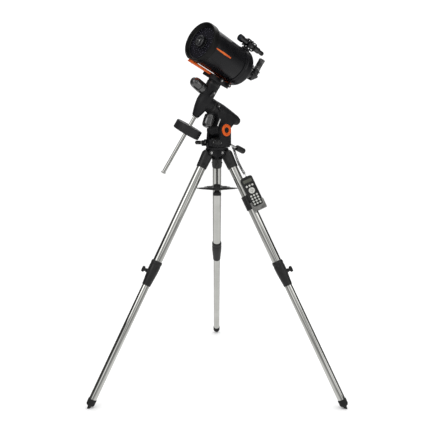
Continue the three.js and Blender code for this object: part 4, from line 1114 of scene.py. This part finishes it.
def star_diagonal():
    half = 19
    outline = [(half, half), (half, -half), (half - 9, -half), (-half, half - 9), (-half, half)]
    nose = pipe(13.5, 15.5, half - 1, half + 44, 96, 0.4, ALONG_X)
    chrome = hollow([
        (13.5, half + 20), (15.55, half + 20), (15.55, half + 44), (13.5, half + 44),
    ], 96, 0.3, ALONG_X)
    housing = cut(
        side_plate(outline, -17, 17, 1.6),
        rod(13.5, 0, half + 50, 96, 0, ALONG_X),
        rod(16.2, -2, half + 30, 96),
    )
    socket = hollow([
        (16.3, half - 1), (19.6, half - 1), (19.6, half + 10), (18.9, half + 11), (18.9, half + 15),
        (19.8, half + 16), (19.8, half + 23.6), (16.3, half + 23.6),
    ], 96, 0.5)
    build("diagonal_housing", "diagonal", SHINY, merged(housing, nose), DIAGONAL, ["star_diagonal"])
    build("diagonal_nose_sleeve", "diagonal", STEEL, chrome, DIAGONAL)
    build("diagonal_socket", "diagonal", SHINY, socket, DIAGONAL)
    thumb_screw("diagonal_screw", "diagonal", DIAGONAL @ turn("Z", 90) @ shift(19.4, 0, half + 17) @ ALONG_X, 4.4, 12)
    slab = [(-half - 0.4, half - 9.2), (half - 9.2, -half - 0.4)]
    normal = Vector((-1, 0, -1)).normalized()
    centre = Vector((sum(p[0] for p in slab) / 2, 0, sum(p[1] for p in slab) / 2)) + normal * 0.2
    for y in (-12, 12):
        for run in (-14, 14):
            spot = centre + Vector((1, 0, -1)).normalized() * run + Vector((0, y, 0))
            aim = normal.to_track_quat("Z", "Y").to_matrix().to_4x4()
            socket_screw(f"diagonal_plate_screw_{y}_{run}", "diagonal", DIAGONAL @ Matrix.Translation(spot) @ aim, 1.7)


def eyepiece():
    barrel = spun([(13.6, 24.2), (13.6, 25), (15.7, 25), (15.7, 42.6)], 96, 0.4)
    build("eyepiece_barrel", "eyepiece", STEEL, barrel, DIAGONAL)
    body = spun([
        (16.8, 43.6), (16.8, 57.4), (15.4, 59.4), (15.4, 85.6), (16.3, 89.6), (16.3, 99.2), (14.6, 102.2),
        (12.4, 102.8), (11.6, 101.6), (10.2, 99.4),
    ], 96, 0.6)
    build("eyepiece_body", "eyepiece", LACQUER, body, DIAGONAL, ["eyepiece"])
    ribs = []
    for row in range(8):
        ribs.append(pipe(14.8, 15.9, 62 + row * 2.8, 63.5 + row * 2.8, 96, 0.5))
    build("eyepiece_grip", "eyepiece", RUBBER, merged(*ribs), DIAGONAL)
    build("eyepiece_band", "eyepiece", BOLT, pipe(15.9, 16.95, 49.5, 51.2, 96, 0.3), DIAGONAL)
    lens = turned([(0, 98.6), (10, 98.6), (9.8, 99.6), (5, 100.6), (0, 100.9)], 64, 0.2)
    build("eyepiece_lens", "eyepiece", LENS, lens, DIAGONAL)


def finder():
    ring_place = -62
    ring = pipe(18.7, 22.8, ring_place - 8, ring_place + 8, 128, 1, ALONG_X)
    back = pipe(18.7, 21.8, ring_place - 46, ring_place - 36, 128, 0.8, ALONG_X)
    beam = block((ring_place - 44, ring_place + 6), (-6, 6), (-24, -19.6), 1.4)
    shoe = block((-85, -49), (-13, 13), (95.4 - FINDER_RISE, -22), 1.2)
    body = cut(cast(0.9, 2, beam, shoe), rod(18.7, -140, 0, 96, 0, ALONG_X))
    build("finder_bracket_casting", "optical_tube", PAINT, body, FINDER, ["finder_bracket"])
    build("finder_rings", "optical_tube", PAINT, merged(ring, back), FINDER)
    for index, (x, angle) in enumerate(((0, 60), (0, -60), (4.4, 118))):
        place = FINDER @ shift(ring_place + x, 0, 0) @ turn("X", angle) @ shift(0, 0, 16.2)
        stem = rod(1.6, -1.2, 14, 24, 0.3)
        head = plate(scalloped(4.2, 16, 0.03, 4), 10, 17.6, 0.5)
        build(f"finder_screw_{index}", "optical_tube", SHINY, merged(stem, head), place, (), 30)
    tube = spun([
        (8.4, -181.6), (10.2, -179), (10.3, -150), (13.7, -146.4), (13.9, -132), (14.4, -128.5), (14.4, -96),
        (13.9, -95), (13.9, -93), (14.4, -92), (14.4, -23), (16.8, -18.4), (16.9, 1), (16.2, 2.3), (15.4, 2.3),
        (14.2, -3),
    ], 128, 0.8, ALONG_X)
    build("finder_tube", "finder", SHINY, tube, FINDER, ["finder_scope"])
    grips = ridges(40, 13.7, 0.5, -144.6, -133.6, 8, 0.3, matrix=ALONG_X)
    for row in range(5):
        grips.append(pipe(9.8, 10.8, -175 + row * 3.4, -173.4 + row * 3.4, 96, 0.4, ALONG_X))
    build("finder_grips", "finder", RUBBER, merged(*grips), FINDER)
    lens = turned([(0, -3.4), (14.1, -3.4), (13.6, -1.8), (7, -0.4), (0, 0)], 96, 0.2, ALONG_X)
    build("finder_lens", "finder", LENS, lens, FINDER)


def dovetail():
    half = 22
    section = [
        (-DOVETAIL_BOTTOM, -half), (-DOVETAIL_BOTTOM, half),
        (-DOVETAIL_TOP, half - 5), (-DOVETAIL_TOP, 5 - half),
    ]
    bar = cut(plate(section, -88, 188, 0.9), plate([(99, -9), (120, -9), (120, 9), (99, 9)], -70, 170))
    build("dovetail_bar_extruded", "optical_tube", ORANGE, bar, OPTICS @ ALONG_X, ["dovetail_bar"])
    end = OPTICS @ shift(176, 0, DOVETAIL_BOTTOM + 0.2) @ BACK
    socket_screw("dovetail_end_screw", "optical_tube", end, 3.6)
    spacer = block((-29, 21), (-14, 14), (DOVETAIL_TOP + 0.1, -88.1), 0.5)
    build("dovetail_spacer", "optical_tube", PAINT, spacer, OPTICS)


# ---------------------------------------------------------------- making
curly_cord()
tripod_head()
brace()
brace_knob()
center_rod()
for leg in LEG_DIRECTIONS:
    leg_sleeve(leg)
    leg_tubes(leg)
    leg_clamp(leg)
    foot(leg)
hand_control()
keypad()
control_holder()
azimuth_base()
azimuth_knob("near", 0)
azimuth_knob("far", 180)
latitude_cap("near", 0)
latitude_cap("far", 180)
latitude_handle()
polar_housing()
motor_covers()
worm_and_shaft()
clutch("ra_clutch", "ra_clutch", POLAR @ shift(80, 39, POLAR_RISE + 2) @ turn("Y", 150), 30, "ra_clutch_lever")
declination_housing()
clutch("dec_clutch", "dec_clutch", CROSSING @ shift(0, 36.3, 62) @ turn("Y", 60), 26, "dec_clutch_lever")
saddle()
saddle_knob("front")
saddle_knob("rear")
balance()
front_ring()
main_tube()
side_stripe()
corrector()
rear_cell()
focus_knob()
visual_back()
star_diagonal()
eyepiece()
finder()
dovetail()

# ---------------------------------------------------------------- floor, light
FLOOR_RADIUS, FLOOR_GAP = 30, 0.0005  # metres
floor_mesh = bmesh.new()
bmesh.ops.create_circle(floor_mesh, cap_ends=True, radius=FLOOR_RADIUS, segments=96)
mesh = bpy.data.meshes.new("floor")
floor_mesh.to_mesh(mesh)
floor_mesh.free()
floor = in_scene("floor", mesh)
floor.location = (0, 0, -FLOOR_GAP)
paper, tree, shader, place = node_tree("white_paper")
tree.links.new(two_tones(tree, noise(tree, place, 0.6, 3.0), (0.93, 0.93, 0.93), (0.95, 0.95, 0.95)),
               shader.inputs["Base Color"])
dial(shader, Roughness=0.9, Specular_IOR_Level=0.1)
mesh.materials.append(paper)


CENTRE = (0, -0.1, 1.1)


def soft_box(name, place, size, watts):
    """A panel lamp turned towards the object's middle."""
    light = bpy.data.lights.new(name, "AREA")
    light.shape = "RECTANGLE"
    light.size, light.size_y = size
    light.energy = watts
    lamp = in_scene(name, light)
    lamp.location = place
    lamp.rotation_euler = (Vector(CENTRE) - Vector(place)).to_track_quat("-Z", "Y").to_euler()


soft_box("key", (-2.2, -2.4, 2.8), (1.4, 2.4), 16)
soft_box("fill", (2.8, -1.8, 1.6), (1.2, 2.6), 10)
soft_box("top", (0.4, 0.8, 3.6), (2.2, 1.6), 22)

floor.visible_glossy = False
world = bpy.data.worlds.new("studio")
bpy.context.scene.world = world
world.use_nodes = True
sky = world.node_tree


def sky_node(kind, **settings):
    node = sky.nodes.new(kind)
    for key, value in settings.items():
        setattr(node, key, value)
    return node


def sky_ramp(value, low, high, stops):
    """A grey for each angle; stops are (degrees, brightness)."""
    remap = sky_node("ShaderNodeMapRange")
    dial(remap, From_Min=radians(low), From_Max=radians(high))
    ramp = sky_node("ShaderNodeValToRGB")
    elements = ramp.color_ramp.elements
    while len(elements) < len(stops):
        elements.new(0.5)
    for element, (angle, grey) in zip(elements, stops):
        element.position = (angle - low) / (high - low)
        element.color = (grey, grey, grey, 1)
    sky.links.new(value, remap.inputs["Value"])
    sky.links.new(remap.outputs["Result"], ramp.inputs["Fac"])
    return ramp.outputs["Color"]


def sky_blend(under, over, start, stop):
    """Changes from one ring of brightness to the next between two elevations."""
    rise = sky_node("ShaderNodeMapRange")
    dial(rise, From_Min=radians(start), From_Max=radians(stop))
    sky.links.new(lift.outputs["Value"], rise.inputs["Value"])
    mixed = sky_node("ShaderNodeMix", data_type="RGBA")
    sky.links.new(rise.outputs["Result"], mixed.inputs["Factor"])
    sky.links.new(under, mixed.inputs["A"])
    sky.links.new(over, mixed.inputs["B"])
    return mixed.outputs["Result"]


# What shiny surfaces see: white panels either side of the front, dark flags at the sides, white behind and above.
# Each ring starts and stops giving way to the next at two elevations; its greys go from the front, 0, to the back.
split = sky_node("ShaderNodeSeparateXYZ")
sky.links.new(sky_node("ShaderNodeTexCoord").outputs["Generated"], split.inputs["Vector"])
backwards = sky_node("ShaderNodeMath", operation="MULTIPLY")
backwards.inputs[1].default_value = -1
sky.links.new(split.outputs["Y"], backwards.inputs[0])
turned_by = sky_node("ShaderNodeMath", operation="ARCTAN2")
sky.links.new(split.outputs["X"], turned_by.inputs[0])
sky.links.new(backwards.outputs["Value"], turned_by.inputs[1])
either_side = sky_node("ShaderNodeMath", operation="ABSOLUTE")
sky.links.new(turned_by.outputs["Value"], either_side.inputs[0])
bearing = either_side.outputs["Value"]
lift = sky_node("ShaderNodeMath", operation="ARCSINE")
sky.links.new(split.outputs["Z"], lift.inputs[0])
paper_grey = sky_ramp(lift.outputs["Value"], -90, 0, [
    (-90, 0.76), (-45, 0.80), (-36, 0.84), (-28, 0.62), (-20, 0.40), (-12, 0.28), (-3, 0.24),
])
PAPER_WHITE = 1.12
rings = [
    (-5, -1, [(0, 0.15), (6, 0.2), (13, 0.95), (34, 0.95), (43, 0.18), (62, 0.06), (138, 0.03), (152, 0.6),
              (180, 0.8)]),
    (11, 18, [(0, 0.3), (16, 0.65), (34, 0.5), (47, 0.05), (140, 0.03), (155, 0.9), (180, 1.2)]),
    (25, 33, [(0, 0.6), (14, 0.5), (41, 1.25), (72, 0.35), (110, 0.1), (135, 0.1), (152, 1.2), (180, 1.4)]),
    (46, 54, [(0, 0.12), (90, 0.15), (140, 1.2), (180, 1.4)]),
    (74, 82, [(0, 1.4), (180, 1.4)]),
]
mirror_sky = paper_grey
for start, stop, ring in rings:
    mirror_sky = sky_blend(mirror_sky, sky_ramp(bearing, 0, 180, ring), start, stop)
seen = sky_node("ShaderNodeLightPath")
shiny = sky_node("ShaderNodeMix", data_type="RGBA")
dial(shiny, A=(*[PAPER_WHITE] * 3, 1))
sky.links.new(seen.outputs["Is Glossy Ray"], shiny.inputs["Factor"])
sky.links.new(mirror_sky, shiny.inputs["B"])
sky.links.new(shiny.outputs["Result"], sky.nodes["Background"].inputs["Color"])
dial(sky.nodes["Background"], Strength=1.0)
bpy.context.scene.view_settings.view_transform = "Standard"
